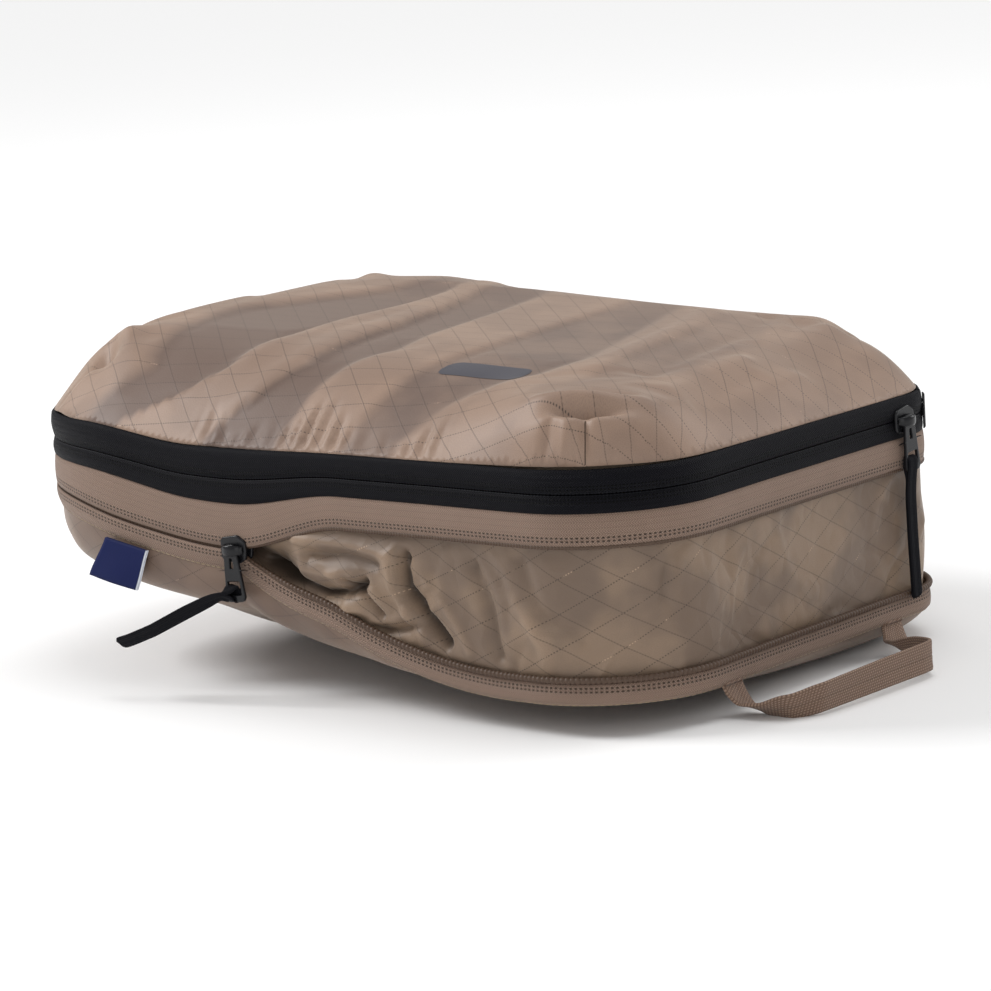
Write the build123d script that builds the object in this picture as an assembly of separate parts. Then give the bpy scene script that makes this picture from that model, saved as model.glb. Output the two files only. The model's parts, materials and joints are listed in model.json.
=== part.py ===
from build123d import *
import math
import os

# Compression packing cube, lying on its bottom panel with its compression zip open except round one end.
#
# Frame: millimetres, +Z up, origin on the resting plane under the middle of the bag. X runs along the long
# side and Y from the front long side to the back one, where the lid is hinged. "Radial" means square to the
# bag's outline: positive is outside it, negative inside. Every zip line is level except near the compression
# slider, where the tapes dip, and round the zipped end (-X), where the bottom is drawn up to the frame.

# Outline of the bag at its zips
LENGTH = 356.0
WIDTH = 256.0
CORNER = 54.0

# Heights of the zip lines on the open part of the bag
FRAME_Z = 78.4
GAP = 54.0
TAPE_JOIN_Z = 93.0
MAIN_COIL_Z = 100.9
LID_EDGE_Z = 111.0
LOWER_TAPE_DROP = 11.0

# The compression zip: where its slider stands and how far beyond it the two tapes part
SLIDER_X = -36.0
OPEN_RUN = 150.0
OPEN_POWER = 2.1
DIP = 12.0
DIP_REACH_LEFT = 110.0
DIP_REACH_RIGHT = 60.0
END_RISE = 5.2
LOW_RISE_X = (-90.0, -175.0)
HIGH_RISE_X = (-60.0, -125.0)

# Lid and bottom panel
LID_TOP_Z = 142.5
LID_SLOPE = -0.05
LID_SHOULDER = 62.0
LID_POWER = 2.2
BOTTOM_LIFT_SHARE = 0.8
BELLY_FROM = -90.0
BOTTOM_EDGE_RISE = 9.0
BOTTOM_EDGE_WIDTH = 22.0
REST_TRIM = 0.3
GRID_STEP = 12.0

# Cloth, tape, coil and binding
PANEL_T = 0.9
SKIN_T = 1.4
TAPE_T = 0.9
SEAM_GAP = 0.1
TUCK = 5.0
COIL_GAP = 1.2
COIL_H = 1.6
COIL_IN = 0.9
COIL_OUT = 1.3
GUSSET_INSET = 4.1
BINDING_INSET = 6.2
BINDING_T = 1.0
BINDING_H = 7.0

# Sliders, pull tabs and straps
SLIDER_L = 12.0
SLIDER_W = 9.4
PLATE_T = 1.4
PLATE_CLEAR = 0.2
POST_T = 0.9
ARCH_SPAN = 7.2
ARCH_X = 3.0
ARCH_OUT = 4.3
ARCH_BAR = 1.2
PIN_OUT = 1.75
PIN_R = 0.8
TAB_L = 22.0
TAB_T = 1.4
TAB_TOP_W = 7.6
TAB_LOW_W = 10.6
TAB_EYE_W = 4.8
TAB_EYE_L = 6.4
SLOT_W = 8.0
SLOT_H = 3.6
TAB_BAR = 2.0
STRAP_W = 7.4
STRAP_T = 1.0
STRAP_L = 57.0
FOLD_BITE = 0.3
STRAP_FOLD_T = 4.8
STRAP_FOLD_H = 4.9
MAIN_SLIDER_Y = 67.5
MAIN_ZIP_END_Y = 86.0
STOP_L = 2.0

# Compression puller: where its free end points, from the tab's bar
LOOSE_TIP = (-41.0, -34.0, -19.0)

# Carry handle of folded webbing on the right side
WEB_W = 12.0
WEB_T = 2.2
HANDLE_Y0 = -68.0
HANDLE_Y1 = 56.0
HANDLE_REACH = 40.0
HANDLE_Z = 8.0
HANDLE_START = 10.5
HANDLE_BEND = 14.0
ANCHOR_L = 3.3

# Side label
LABEL_W = 28.0
LABEL_H = 19.0
LABEL_T = 1.0
LABEL_X = -100.0
LABEL_TILT = 10.0

# Printed mark on the lid: one plain rounded patch
MARK_X = 64.0
MARK_Y = -74.0
MARK_L = 44.0
MARK_W = 15.0
MARK_R = 5.0
MARK_T = 0.3

HALF_L = LENGTH / 2
HALF_W = WIDTH / 2
FAR_X = HALF_L + 20
FAR_Y = HALF_W + 20


# --- shape rules ---------------------------------------------------------------------------------------

def smooth(value, start, end):
    """0 at start, 1 at end, level at both."""
    t = min(1.0, max(0.0, (value - start) / (end - start)))
    return t * t * (3 - 2 * t)


def dip(x):
    """1 at the compression slider, 0 a hand's breadth away."""
    reach = DIP_REACH_LEFT if x < SLIDER_X else DIP_REACH_RIGHT
    return 1 - smooth(abs(x - SLIDER_X), 0, reach)


def high_rise(x):
    """How far the upper zip lines have climbed towards the zipped end, 0 to 1."""
    return smooth(x, *HIGH_RISE_X)


def frame_line(x):
    """Where the frame's compression tape ends."""
    return FRAME_Z - DIP * dip(x) + END_RISE * smooth(x, *LOW_RISE_X)


def opening(x):
    """How far the two compression tapes stand apart."""
    t = min(1.0, max(0.0, (x - SLIDER_X) / OPEN_RUN))
    return GAP * (1 - (1 - t) ** OPEN_POWER)


def base_line(x):
    """Where the bottom's compression tape ends."""
    return frame_line(x) - opening(x)


def lift(x):
    """How far the bottom is drawn up, 0 on the open part."""
    return base_line(x) - (FRAME_Z - GAP)


def tape_join(x):
    return TAPE_JOIN_Z - 7 * dip(x) + 4 * high_rise(x)


def main_line(x):
    return MAIN_COIL_Z - 4 * dip(x) + 4 * high_rise(x)


def lid_edge(x):
    return LID_EDGE_Z - dip(x) + 6 * high_rise(x)


def shifted(line, by):
    return lambda x: line(x) + by


def inset(x, y):
    """Distance inside the rounded outline, negative outside it."""
    qx = abs(x) - (HALF_L - CORNER)
    qy = abs(y) - (HALF_W - CORNER)
    outside = math.hypot(max(qx, 0), max(qy, 0)) + min(max(qx, qy), 0)
    return CORNER - outside


def roof(x, y):
    """Height of the stuffed lid."""
    edge = lid_edge(x)
    t = min(1.0, inset(x, y) / LID_SHOULDER)
    return edge + (LID_TOP_Z + LID_SLOPE * x - edge) * (1 - (1 - t) ** LID_POWER)


def floor(x, y):
    """Underside of the bottom panel: flat, drawn up at the zipped end, where its middle still bellies down."""
    belly = 1 - (1 - smooth(abs(y), 0, HALF_W)) * smooth(x, -HALF_L, BELLY_FROM)
    edge = min(1.5, max(0.0, 1 - inset(x, y) / BOTTOM_EDGE_WIDTH))
    return BOTTOM_LIFT_SHARE * lift(x) * belly + BOTTOM_EDGE_RISE * edge ** 2


def floor_edge(x):
    """The underside's height at the outline."""
    return BOTTOM_LIFT_SHARE * lift(x) + BOTTOM_EDGE_RISE


# --- building blocks -----------------------------------------------------------------------------------

def prism(radial):
    """The outline, grown by radial, as a tall solid."""
    outline = RectangleRounded(LENGTH + 2 * radial, WIDTH + 2 * radial, CORNER + radial)
    return extrude(Pos(0, 0, -20) * outline, amount=220)


def curve(line):
    """The zip line as two splines that meet at the slider."""
    def through(x0, x1, count):
        return Spline(*[(x, line(x)) for x in (x0 + (x1 - x0) * i / count for i in range(count + 1))])
    return [through(-FAR_X, SLIDER_X, 10), through(SLIDER_X, FAR_X, 12)]


def slab(low, high):
    """Everything between two zip lines, across the whole width."""
    bottom, top = curve(low), curve(high)
    sides = [Line((x, low(x)), (x, high(x))) for x in (-FAR_X, FAR_X)]
    face = make_face(Plane.XZ * (Curve() + [*bottom, *top, *sides]))
    return extrude(face, amount=FAR_Y, both=True)


def ring(inner, outer, low, high):
    """A wall between two radial distances and two zip lines."""
    return (prism(outer) - prism(inner)) & slab(low, high)


def open_back(shape):
    """Takes away the hinge side: what stays runs round the two ends and the front."""
    block = Box(2 * FAR_X, 2 * HALF_W, 400)
    return shape - Pos(0, MAIN_ZIP_END_Y + HALF_W, 0) * block


def skin(height, drop):
    """A sheet over the whole outline whose upper side is at height(x, y)."""
    def steps(reach):
        count = round(2 * reach / GRID_STEP)
        return [-reach + 2 * reach * i / count for i in range(count + 1)]
    points = [[Vector(x, y, height(x, y) - drop) for y in steps(FAR_Y)] for x in steps(FAR_X)]
    sheet = Face.make_surface_from_array_of_points(points, tol=0.2)
    return extrude(sheet, amount=drop, dir=(0, 0, 1))


# --- cloth, tapes and coils ----------------------------------------------------------------------------

def lid_panel():
    dome = skin(roof, SKIN_T) & prism(-SEAM_GAP)
    rim = ring(-PANEL_T - SEAM_GAP, -SEAM_GAP, shifted(lid_edge, -TUCK), shifted(lid_edge, 0.6))
    return dome + rim


def bottom_panel():
    tray = skin(lambda x, y: floor(x, y) + SKIN_T - REST_TRIM, SKIN_T) & prism(-SEAM_GAP)
    rim = ring(-PANEL_T - SEAM_GAP, -SEAM_GAP, floor_edge, shifted(base_line, 3 - LOWER_TAPE_DROP))
    above_ground = Pos(0, 0, 200) * Box(2 * FAR_X, 2 * FAR_Y, 400)
    return (tray + rim) & above_ground


def tape(low, high):
    return ring(0, TAPE_T, low, high)


def coil(low, high):
    return ring(-COIL_IN, COIL_OUT, low, high)


def binding(line):
    return ring(-BINDING_INSET - BINDING_T, -BINDING_INSET, line, shifted(line, BINDING_H))


HALF_GAP = COIL_GAP / 2
COIL_EDGE = HALF_GAP + COIL_H


def soft_parts():
    """Every cloth, tape, coil and binding node."""
    base_top = shifted(base_line, -HALF_GAP)
    base_coil = shifted(base_line, -COIL_EDGE)
    frame_low = shifted(frame_line, HALF_GAP)
    frame_coil = shifted(frame_line, COIL_EDGE)
    main_low_coil = shifted(main_line, -COIL_EDGE)
    main_high_coil = shifted(main_line, COIL_EDGE)
    hinge_low = shifted(tape_join, SEAM_GAP)
    return {
        "bottom_panel": bottom_panel(),
        "compression_lower_tape": tape(shifted(base_line, -LOWER_TAPE_DROP), shifted(base_coil, -SEAM_GAP)),
        "compression_lower_coil": coil(base_coil, base_top),
        "expansion_gusset": ring(-GUSSET_INSET - PANEL_T, -GUSSET_INSET,
                                 shifted(base_line, 2 - LOWER_TAPE_DROP), shifted(tape_join, -1)),
        "base_seam_binding": binding(shifted(base_line, -LOWER_TAPE_DROP)),
        "compression_upper_coil": coil(frame_low, frame_coil),
        "compression_upper_tape": tape(shifted(frame_coil, SEAM_GAP), tape_join),
        "frame_seam_binding": binding(shifted(tape_join, -4)),
        "main_lower_tape": open_back(tape(hinge_low, shifted(main_low_coil, -SEAM_GAP))),
        "main_lower_coil": open_back(coil(main_low_coil, shifted(main_line, -HALF_GAP))),
        "rear_hinge_strip": tape(hinge_low, lid_edge) & past_zip_end(STOP_L + 4 * SEAM_GAP, 2 * HALF_W),
        "main_upper_coil": open_back(coil(shifted(main_line, HALF_GAP), main_high_coil)),
        "main_upper_tape": open_back(tape(shifted(main_high_coil, SEAM_GAP), lid_edge)),
        "lid_seam_binding": binding(shifted(lid_edge, -6)),
        "lid_panel": lid_panel(),
    }


# --- zip hardware, built at its own origin: +X is the closing direction, -Y is outwards --------------------

PLATE_IN = COIL_IN + PLATE_CLEAR
PLATE_OUT = COIL_OUT + PLATE_CLEAR
OUTER_FACE = PLATE_OUT + PLATE_T
PIN_Y = -(OUTER_FACE + PIN_OUT)


def slider_plate():
    """Plan of a slider's plate: broad at the nose, narrower at the tail."""
    nose, tail = SLIDER_W / 2, SLIDER_W / 2 - 1.5
    ends = SLIDER_L / 2
    plan = Polyline((-ends, -tail), (ends - 3, -nose), (ends, -nose + 2),
                    (ends, nose - 2), (ends - 3, nose), (-ends, tail), close=True)
    face = make_face(Plane.XZ * plan)
    return fillet(face.vertices(), 0.9)


def slider_body():
    outer = extrude(Pos(0, -PLATE_OUT, 0) * slider_plate(), amount=PLATE_T, dir=(0, -1, 0))
    inner = extrude(Pos(0, PLATE_IN, 0) * slider_plate(), amount=PLATE_T, dir=(0, 1, 0))
    post = Pos(SLIDER_L / 2 - 2.6, (PLATE_IN - PLATE_OUT) / 2, 0) * Box(4, PLATE_IN + PLATE_OUT, POST_T)
    return outer + inner + post


def slider_crown():
    """An arch across the outer plate that the pull tab hangs from."""
    middle = -(OUTER_FACE + ARCH_OUT / 2)
    arch = Pos(0, middle, 0) * Box(ARCH_X, ARCH_OUT, ARCH_SPAN)
    arch = fillet(arch.faces().sort_by(Axis.Y)[0].edges().filter_by(Axis.X), 1.4)
    hole = Pos(0, middle + ARCH_BAR / 2, 0) * Box(ARCH_X + 1, ARCH_OUT - ARCH_BAR, ARCH_SPAN - 2 * ARCH_BAR)
    return arch - hole


def pull_tab():
    """Flat tab with an eye round the arch, a round pivot bar over it, and a slot for the strap."""
    top, low = TAB_TOP_W / 2, TAB_LOW_W / 2
    plan = Polyline((-top, 0), (-low, -TAB_L + 3), (-low, -TAB_L), (low, -TAB_L),
                    (low, -TAB_L + 3), (top, 0), close=True)
    face = make_face(Plane.XZ * plan)
    face = fillet(face.vertices().group_by(Axis.Z)[0], 1.8)
    plate = Pos(0, PIN_Y, 0) * extrude(face, amount=TAB_T / 2, both=True)
    eye = Pos(0, PIN_Y, -TAB_EYE_L / 2) * Box(TAB_EYE_W, 4, TAB_EYE_L)
    slot = Pos(0, PIN_Y, -TAB_L + TAB_BAR + SLOT_H / 2) * Box(SLOT_W, 4, SLOT_H)
    bar = Pos(0, PIN_Y, 0) * Rot(0, 90, 0) * Cylinder(PIN_R, TAB_TOP_W)
    return plate - eye - slot + bar


def strap_fold():
    """The loop of the strap round the tab's lower bar."""
    outer = Box(STRAP_W, STRAP_FOLD_T, STRAP_FOLD_H)
    hole = Box(STRAP_W + 1, STRAP_FOLD_T - 2 * STRAP_T, STRAP_FOLD_H - 2 * STRAP_T)
    loop = fillet(outer.edges().filter_by(Axis.X), 0.9) - hole
    return Pos(0, PIN_Y, -TAB_L + TAB_BAR / 2) * loop


def hanging_strap():
    """Main puller: the strap hangs straight down from its fold."""
    tail = Box(STRAP_W, 2 * STRAP_T, STRAP_L)
    tail = fillet(tail.edges().filter_by(Axis.Y).group_by(Axis.Z)[0], 1.5)
    middle = -TAB_L + TAB_BAR / 2 - STRAP_FOLD_H / 2 + FOLD_BITE - STRAP_L / 2
    return strap_fold() + Pos(0, PIN_Y, middle) * tail


def loose_strap():
    """Compression puller: the strap bends away from its fold towards LOOSE_TIP."""
    start = Vector(0, PIN_Y, -TAB_L + TAB_BAR / 2 - STRAP_FOLD_H / 2 + FOLD_BITE)
    tip = start + Vector(*LOOSE_TIP)
    path = Spline(start, tip, tangents=[(-0.25, -0.5, -0.8), (-0.78, -0.6, -0.12)])
    section = Plane(origin=start, x_dir=(0.8, -0.6, 0.12), z_dir=path % 0) * Rectangle(STRAP_W, 2 * STRAP_T)
    return strap_fold() + sweep(section, path=path, is_frenet=False, transition=Transition.ROUND)


def start_stop():
    """Compression zip: the clamped stop between the coils where the zip starts, half way along the back."""
    middle = HALF_W + (COIL_OUT - COIL_IN) / 2
    return Pos(SLIDER_X, middle, frame_line(SLIDER_X)) * Box(2.4, COIL_IN + COIL_OUT + 0.8, 1.0)


# --- other pieces ----------------------------------------------------------------------------------------

def past_zip_end(start, length):
    """A block across both sides of the bag, from start to start + length beyond the main zip's ends."""
    return Pos(0, MAIN_ZIP_END_Y + start + length / 2, 0) * Box(2 * FAR_X, length, 400)


def end_tabs():
    """Cloth tabs outside the tapes, over the two ends of the main zip."""
    wall = ring(COIL_OUT + 0.3, COIL_OUT + 1.2, shifted(main_line, -7), shifted(main_line, 7))
    return wall & past_zip_end(-0.5, 12)


def main_stops():
    """End stops of the main zip: one over the end of each coil pair."""
    wall = ring(-COIL_IN, COIL_OUT, shifted(main_line, -COIL_EDGE), shifted(main_line, COIL_EDGE))
    return wall & past_zip_end(2 * SEAM_GAP, STOP_L)


def carry_handle():
    """Folded webbing on edge: out from one anchor, along the side and back to the other."""
    x0, x1 = HALF_L + HANDLE_START, HALF_L + HANDLE_REACH
    path = FilletPolyline((x0, HANDLE_Y0), (x1, HANDLE_Y0), (x1, HANDLE_Y1), (x0, HANDLE_Y1),
                          radius=HANDLE_BEND)
    wall = make_face(offset(path, WEB_T / 2).edges())
    return extrude(Pos(0, 0, HANDLE_Z - WEB_W / 2) * wall, amount=WEB_W)


def handle_anchors():
    """The sewn ends of the webbing, folded under the lower tape's seam."""
    anchors = []
    for y in (HANDLE_Y0, HANDLE_Y1):
        end = Box(ANCHOR_L, WEB_T, WEB_W - 1)
        anchors.append(Pos(HALF_L + TAPE_T + 0.4 + ANCHOR_L / 2, y, HANDLE_Z) * end)
    return Compound(children=anchors)


def side_label():
    """A folded woven tag hanging from the seam under the lower tape."""
    z = base_line(LABEL_X) - LOWER_TAPE_DROP
    tag = Box(LABEL_W, LABEL_T, LABEL_H)
    tag = fillet(tag.edges().filter_by(Axis.X).group_by(Axis.Z)[0], 0.4)
    hang = Pos(0, 0, -LABEL_H / 2 + 1)
    return Pos(LABEL_X, -(HALF_W + TAPE_T + 0.3 + LABEL_T / 2), z) * Rot(0, LABEL_TILT, 0) * hang * tag


def lid_mark():
    """A plain printed patch lying on the lid."""
    column = extrude(Pos(MARK_X, MARK_Y, 0) * RectangleRounded(MARK_L, MARK_W, MARK_R), amount=200)
    film = skin(lambda x, y: roof(x, y) + MARK_T + 0.02, MARK_T)
    return film & column


def placed(at, turn, shape):
    return at * Rot(0, 0, turn) * shape


def hardware():
    """Both sliders with their crowns, tabs and straps, stops and end tabs."""
    front = Pos(SLIDER_X, -HALF_W, frame_line(SLIDER_X))
    side = Pos(HALF_L, MAIN_SLIDER_Y, main_line(HALF_L))
    nodes = {}
    for name, at, turn, strap in (("compression", front, 0, loose_strap()), ("main", side, 90, hanging_strap())):
        nodes[name + "_slider_body"] = placed(at, turn, slider_body())
        nodes[name + "_slider_crown"] = placed(at, turn, slider_crown())
        nodes[name + "_pull_tab"] = placed(at, turn, pull_tab())
        nodes[name + "_puller_strap"] = placed(at, turn, strap)
    return nodes


def all_nodes():
    nodes = soft_parts()
    nodes.update(hardware())
    nodes["compression_zip_stop"] = start_stop()
    nodes["main_zip_stops"] = main_stops()
    nodes["main_zip_end_tabs"] = end_tabs()
    nodes["carry_handle"] = carry_handle()
    nodes["handle_anchors"] = handle_anchors()
    nodes["side_label"] = side_label()
    nodes["lid_mark"] = lid_mark()
    return nodes


os.makedirs("parts", exist_ok=True)
for name, shape in all_nodes().items():
    export_step(shape, f"parts/{name}.step")
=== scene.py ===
import json
import math

import bpy
import numpy as np
from mathutils import Matrix, Vector
from mathutils.bvhtree import BVHTree
from mathutils.geometry import delaunay_2d_cdt


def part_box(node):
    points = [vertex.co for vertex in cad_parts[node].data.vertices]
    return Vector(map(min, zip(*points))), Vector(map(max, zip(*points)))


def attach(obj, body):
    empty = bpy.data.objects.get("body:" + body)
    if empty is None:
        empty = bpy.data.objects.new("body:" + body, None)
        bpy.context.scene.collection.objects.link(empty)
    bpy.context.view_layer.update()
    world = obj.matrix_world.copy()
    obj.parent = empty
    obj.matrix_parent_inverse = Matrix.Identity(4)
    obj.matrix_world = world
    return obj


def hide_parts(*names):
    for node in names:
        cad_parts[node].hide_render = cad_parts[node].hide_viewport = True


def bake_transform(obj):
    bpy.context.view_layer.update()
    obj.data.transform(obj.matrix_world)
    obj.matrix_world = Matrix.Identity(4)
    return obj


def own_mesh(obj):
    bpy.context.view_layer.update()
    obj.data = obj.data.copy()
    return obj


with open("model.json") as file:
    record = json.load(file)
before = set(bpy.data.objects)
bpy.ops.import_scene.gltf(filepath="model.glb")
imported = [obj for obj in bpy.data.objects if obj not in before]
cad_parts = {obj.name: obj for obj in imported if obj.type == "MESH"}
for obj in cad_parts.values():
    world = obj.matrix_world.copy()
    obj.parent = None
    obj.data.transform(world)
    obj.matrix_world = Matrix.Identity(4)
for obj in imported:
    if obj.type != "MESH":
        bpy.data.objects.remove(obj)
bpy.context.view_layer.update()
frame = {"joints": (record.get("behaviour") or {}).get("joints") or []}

MM = 0.001
JOINTS = {joint["name"]: joint for joint in frame["joints"]}

# The black tape's thickness, then sizes and places read from the frame
TAPE_T = 0.9
HALF_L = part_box("compression_upper_tape")[1].x / MM - TAPE_T
HALF_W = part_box("compression_upper_tape")[1].y / MM - TAPE_T
SLIDER = Vector(JOINTS["compression_pull_swing"]["pos_m"]) / MM
MAIN_SLIDER = Vector(JOINTS["main_pull_swing"]["pos_m"]) / MM
ZIP_END_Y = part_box("main_upper_tape")[1].y / MM

# The corners in the order of s: which sides meet, the degree where the arc starts, its reach along x and y
CORNERS = (((-1, 1), 90, (60.0, 54.0)), ((-1, -1), 180, (76.0, 54.0)),
           ((1, -1), 270, (54.0, 54.0)), ((1, 1), 360, (110.0, 54.0)))
ARC_POINTS = 91

# The compression zip: its height on the frame, how wide it opens and over what run beyond the slider
FRAME_Z = 78.4
GAP = 54.0
OPEN_RUN = 150.0
OPEN_POWER = 2.1
# How far the frame's edge dips over the slider, and how far the dip reaches behind and ahead of it
DIP = 12.0
DIP_BEHIND = 110.0
DIP_AHEAD = 60.0
# How far the lower tape hangs below its edge
TAPE_DROP = 11.0


def smooth(value, start, end):
    """0 at start, 1 at end, level at both."""
    t = np.clip((np.asarray(value, float) - start) / (end - start), 0, 1)
    return t * t * (3 - 2 * t)


def bump_at(distance, width):
    """A soft hump of height 1."""
    return np.exp(-(distance / width) ** 2)


def spot(dx, width_x, dy, width_y):
    """A soft round hump of height 1."""
    return np.exp(-(dx / width_x) ** 2 - (dy / width_y) ** 2)


def dip(x):
    """1 over the compression slider, falling to 0 on both sides."""
    away = np.abs(x - SLIDER.x)
    return np.where(x < SLIDER.x, 1 - smooth(away, 0, DIP_BEHIND), 1 - smooth(away, 0, DIP_AHEAD))


def frame_line(x):
    """Height of the compression zip's edge on the frame."""
    return FRAME_Z - DIP * dip(x) + 5.2 * smooth(x, -90, -175)


def opening(x):
    """How far the compression zip stands open."""
    t = np.clip((x - SLIDER.x) / OPEN_RUN, 0, 1)
    return GAP * (1 - (1 - t) ** OPEN_POWER)


def base_line(x):
    """Height of the compression zip's edge on the bottom panel."""
    return frame_line(x) - opening(x)


def lift(x):
    """How far the bottom panel's edge is drawn up where the zip is closed."""
    return base_line(x) - (FRAME_Z - GAP)


def seam_line(height, dips, rises):
    """A seam's height along the bag: it dips over the compression slider and rises at the zipped end."""
    return lambda x: height - dips * dip(x) + rises * smooth(x, -60, -125)


tape_join = seam_line(93, 7, 4)
main_line = seam_line(100.9, 4, 4)
lid_edge = seam_line(111, 1, 6)


# The outline

def outline_table():
    """Points and outward normals round the bag, from the middle of the back through -X, -Y and +X."""
    rows = [(0, HALF_W, 0, 1)]
    for (side_x, side_y), start, (reach_x, reach_y) in CORNERS:
        middle_x, middle_y = side_x * (HALF_L - reach_x), side_y * (HALF_W - reach_y)
        for degree in range(ARC_POINTS):
            cosine, sine = math.cos(math.radians(start + degree)), math.sin(math.radians(start + degree))
            size = math.hypot(cosine / reach_x, sine / reach_y)
            rows.append((middle_x + reach_x * cosine, middle_y + reach_y * sine,
                         cosine / reach_x / size, sine / reach_y / size))
    rows.append((0, HALF_W, 0, 1))
    table = np.array(rows)
    steps = np.hypot(*np.diff(table[:, :2], axis=0).T)
    return np.concatenate([[0], np.cumsum(steps)]), table


S_TABLE, OUTLINE = outline_table()
ROUND = S_TABLE[-1]


def outline(s):
    """x, y, nx, ny at distance s round the outline."""
    wrapped = np.mod(s, ROUND)
    return [np.interp(wrapped, S_TABLE, OUTLINE[:, i]) for i in range(4)]


def outline_x(s):
    """x at distance s round the outline."""
    return outline(s)[0]


def s_steps(step, start=0.0, end=None):
    """Even steps of about the given length, all the way round unless told where to stop."""
    end = ROUND if end is None else end
    return np.linspace(start, end, max(2, round((end - start) / step)) + 1)


def s_on_side(side, y):
    """Distance round to the place at y on the -X or +X side."""
    first = 1 if side < 0 else 2 * ARC_POINTS + 1
    part = slice(first, first + 2 * ARC_POINTS)
    return float(np.interp(side * y, side * OUTLINE[part, 1], S_TABLE[part]))


def s_corner(side_x, side_y):
    """Distance round to the middle of a corner."""
    number = [sides for sides, _, _ in CORNERS].index((side_x, side_y))
    return S_TABLE[1 + ARC_POINTS * number + ARC_POINTS // 2]


# Where the main zip ends, on the -X and on the +X side
S_ZIP_A = s_on_side(-1, ZIP_END_Y)
S_ZIP_B = s_on_side(1, ZIP_END_Y)


def wobble(s, seed, size):
    """A slow, closed ripple round the bag."""
    turn = 2 * math.pi * np.asarray(s) / ROUND
    waves = [(5, 0.45), (8, 0.3), (13, 0.25)]
    return size * sum(share * np.sin(k * turn + seed * (k + 1.7)) for k, share in waves)


def closed_share(s):
    """1 where the compression zip is closed, 0 where it stands open."""
    return 1 - smooth(opening(outline_x(s)), 0, 26)


def lean(s, z):
    """How far the wall stands out at height z: the closed end bulges at its zip and draws in below it."""
    below = frame_line(outline_x(s)) - z
    tucked = 0.6 * np.exp(-(below / 6) ** 2) - 1.8 * smooth(below, 2, 14) - 2 * smooth(below, 12, 34)
    return closed_share(s) * tucked + wobble(s, 1, 0.7)


def wall(s, radial, z):
    """Points in mm at distance s, out by radial, at height z."""
    s, radial, z = np.broadcast_arrays(np.asarray(s, float), radial, z)
    x, y, nx, ny = outline(s)
    out = radial + lean(s, z)
    return np.stack([x + nx * out, y + ny * out, z], -1)


# Mesh building

def link(name, data):
    """A new object in the scene."""
    obj = bpy.data.objects.new(name, data)
    bpy.context.scene.collection.objects.link(obj)
    return obj


def vectors(mesh, name, rows):
    """Stores a named vector on each point of a mesh."""
    layer = mesh.attributes.new(name, "FLOAT_VECTOR", "POINT")
    layer.data.foreach_set("vector", np.asarray(rows, np.float32).ravel())


def stored(mesh, name):
    """A named vector of each point, as rows."""
    flat = np.empty(len(mesh.vertices) * 3)
    mesh.attributes[name].data.foreach_get("vector", flat)
    return flat.reshape(-1, 3)


def coordinates(mesh):
    """Each point of a mesh, in metres."""
    flat = np.empty(len(mesh.vertices) * 3)
    mesh.vertices.foreach_get("co", flat)
    return flat.reshape(-1, 3)


def move_points(mesh, places):
    """Puts each point of a mesh at its place, in metres."""
    mesh.vertices.foreach_set("co", places.ravel())
    mesh.update()


def new_mesh(name, points, faces, weave=None, material=None):
    """A smooth mesh from points in mm; weave is each point's place in its cloth, in mm."""
    mesh = bpy.data.meshes.new(name)
    mesh.from_pydata((np.asarray(points, float).reshape(-1, 3) * MM).tolist(), [], faces)
    if weave is not None:
        flat = np.zeros((len(mesh.vertices), 3))
        flat[:, :2] = np.asarray(weave, float).reshape(-1, 2)
        vectors(mesh, "weave", flat)
    mesh.shade_smooth()
    if material is not None:
        mesh.materials.append(material)
    return link(name, mesh)


def grid_faces(n, m, wrap=False):
    """Quads over an n by m grid of points; wrap joins the last column of m to the first."""
    index = np.arange(n * m).reshape(n, m)
    if wrap:
        index = np.concatenate([index, index[:, :1]], 1)
    quads = np.stack([index[:-1, :-1], index[:-1, 1:], index[1:, 1:], index[1:, :-1]], -1)
    return quads.reshape(-1, 4).tolist()


def around(count):
    """Even angles round a circle."""
    return np.linspace(0, 2 * math.pi, count, endpoint=False)


def tube(name, sections, weave, material):
    """sections (n, m, 3): closed loops of m points, joined along n, with both ends filled."""
    n, m = sections.shape[:2]
    faces = grid_faces(n, m, wrap=True)
    faces.append(list(range(m)))
    faces.append(list(range((n - 1) * m, n * m))[::-1])
    return new_mesh(name, sections, faces, weave, material)


def tube_on_wall(name, s, radial, z, across, material):
    """A tube whose loops are given by radial place and height at each s; across is the place in the cloth."""
    along = s[:, None] + 0 * z
    return tube(name, wall(along, radial, z), np.stack([along, across], -1), material)


def ribbon(name, s, low, high, face, thick, rows, material, edge="low"):
    """A band of tape between two heights: face(t) is its outer face's radial place, t 0 at the bottom."""
    t = np.concatenate([np.linspace(0, 1, rows), np.linspace(1, 0, rows)])
    back = np.concatenate([np.zeros(rows), np.full(rows, thick)])
    z = low[:, None] + (high - low)[:, None] * t[None]
    radial = face(t)[None] - back[None] + 0 * z
    across = z - low[:, None] if edge == "low" else high[:, None] - z
    return tube_on_wall(name, s, radial, z, across, material)


def beads(name, s, z, radial, size, pitch, material):
    """A coil: a bar whose turns swell once every pitch. size is its half depth and half height, at each s."""
    angles = around(8)
    swell = 0.58 + 0.42 * np.sqrt(np.abs(np.sin(math.pi * s / pitch)))
    deep, high = (np.broadcast_to(half, s.shape)[:, None] for half in size)
    rr = np.broadcast_to(radial, s.shape)[:, None] + deep * np.cos(angles)[None] * swell[:, None]
    zz = z[:, None] + high * np.sin(angles)[None] * swell[:, None]
    return tube_on_wall(name, s, rr, zz, zz - z[:, None], material)


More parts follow.
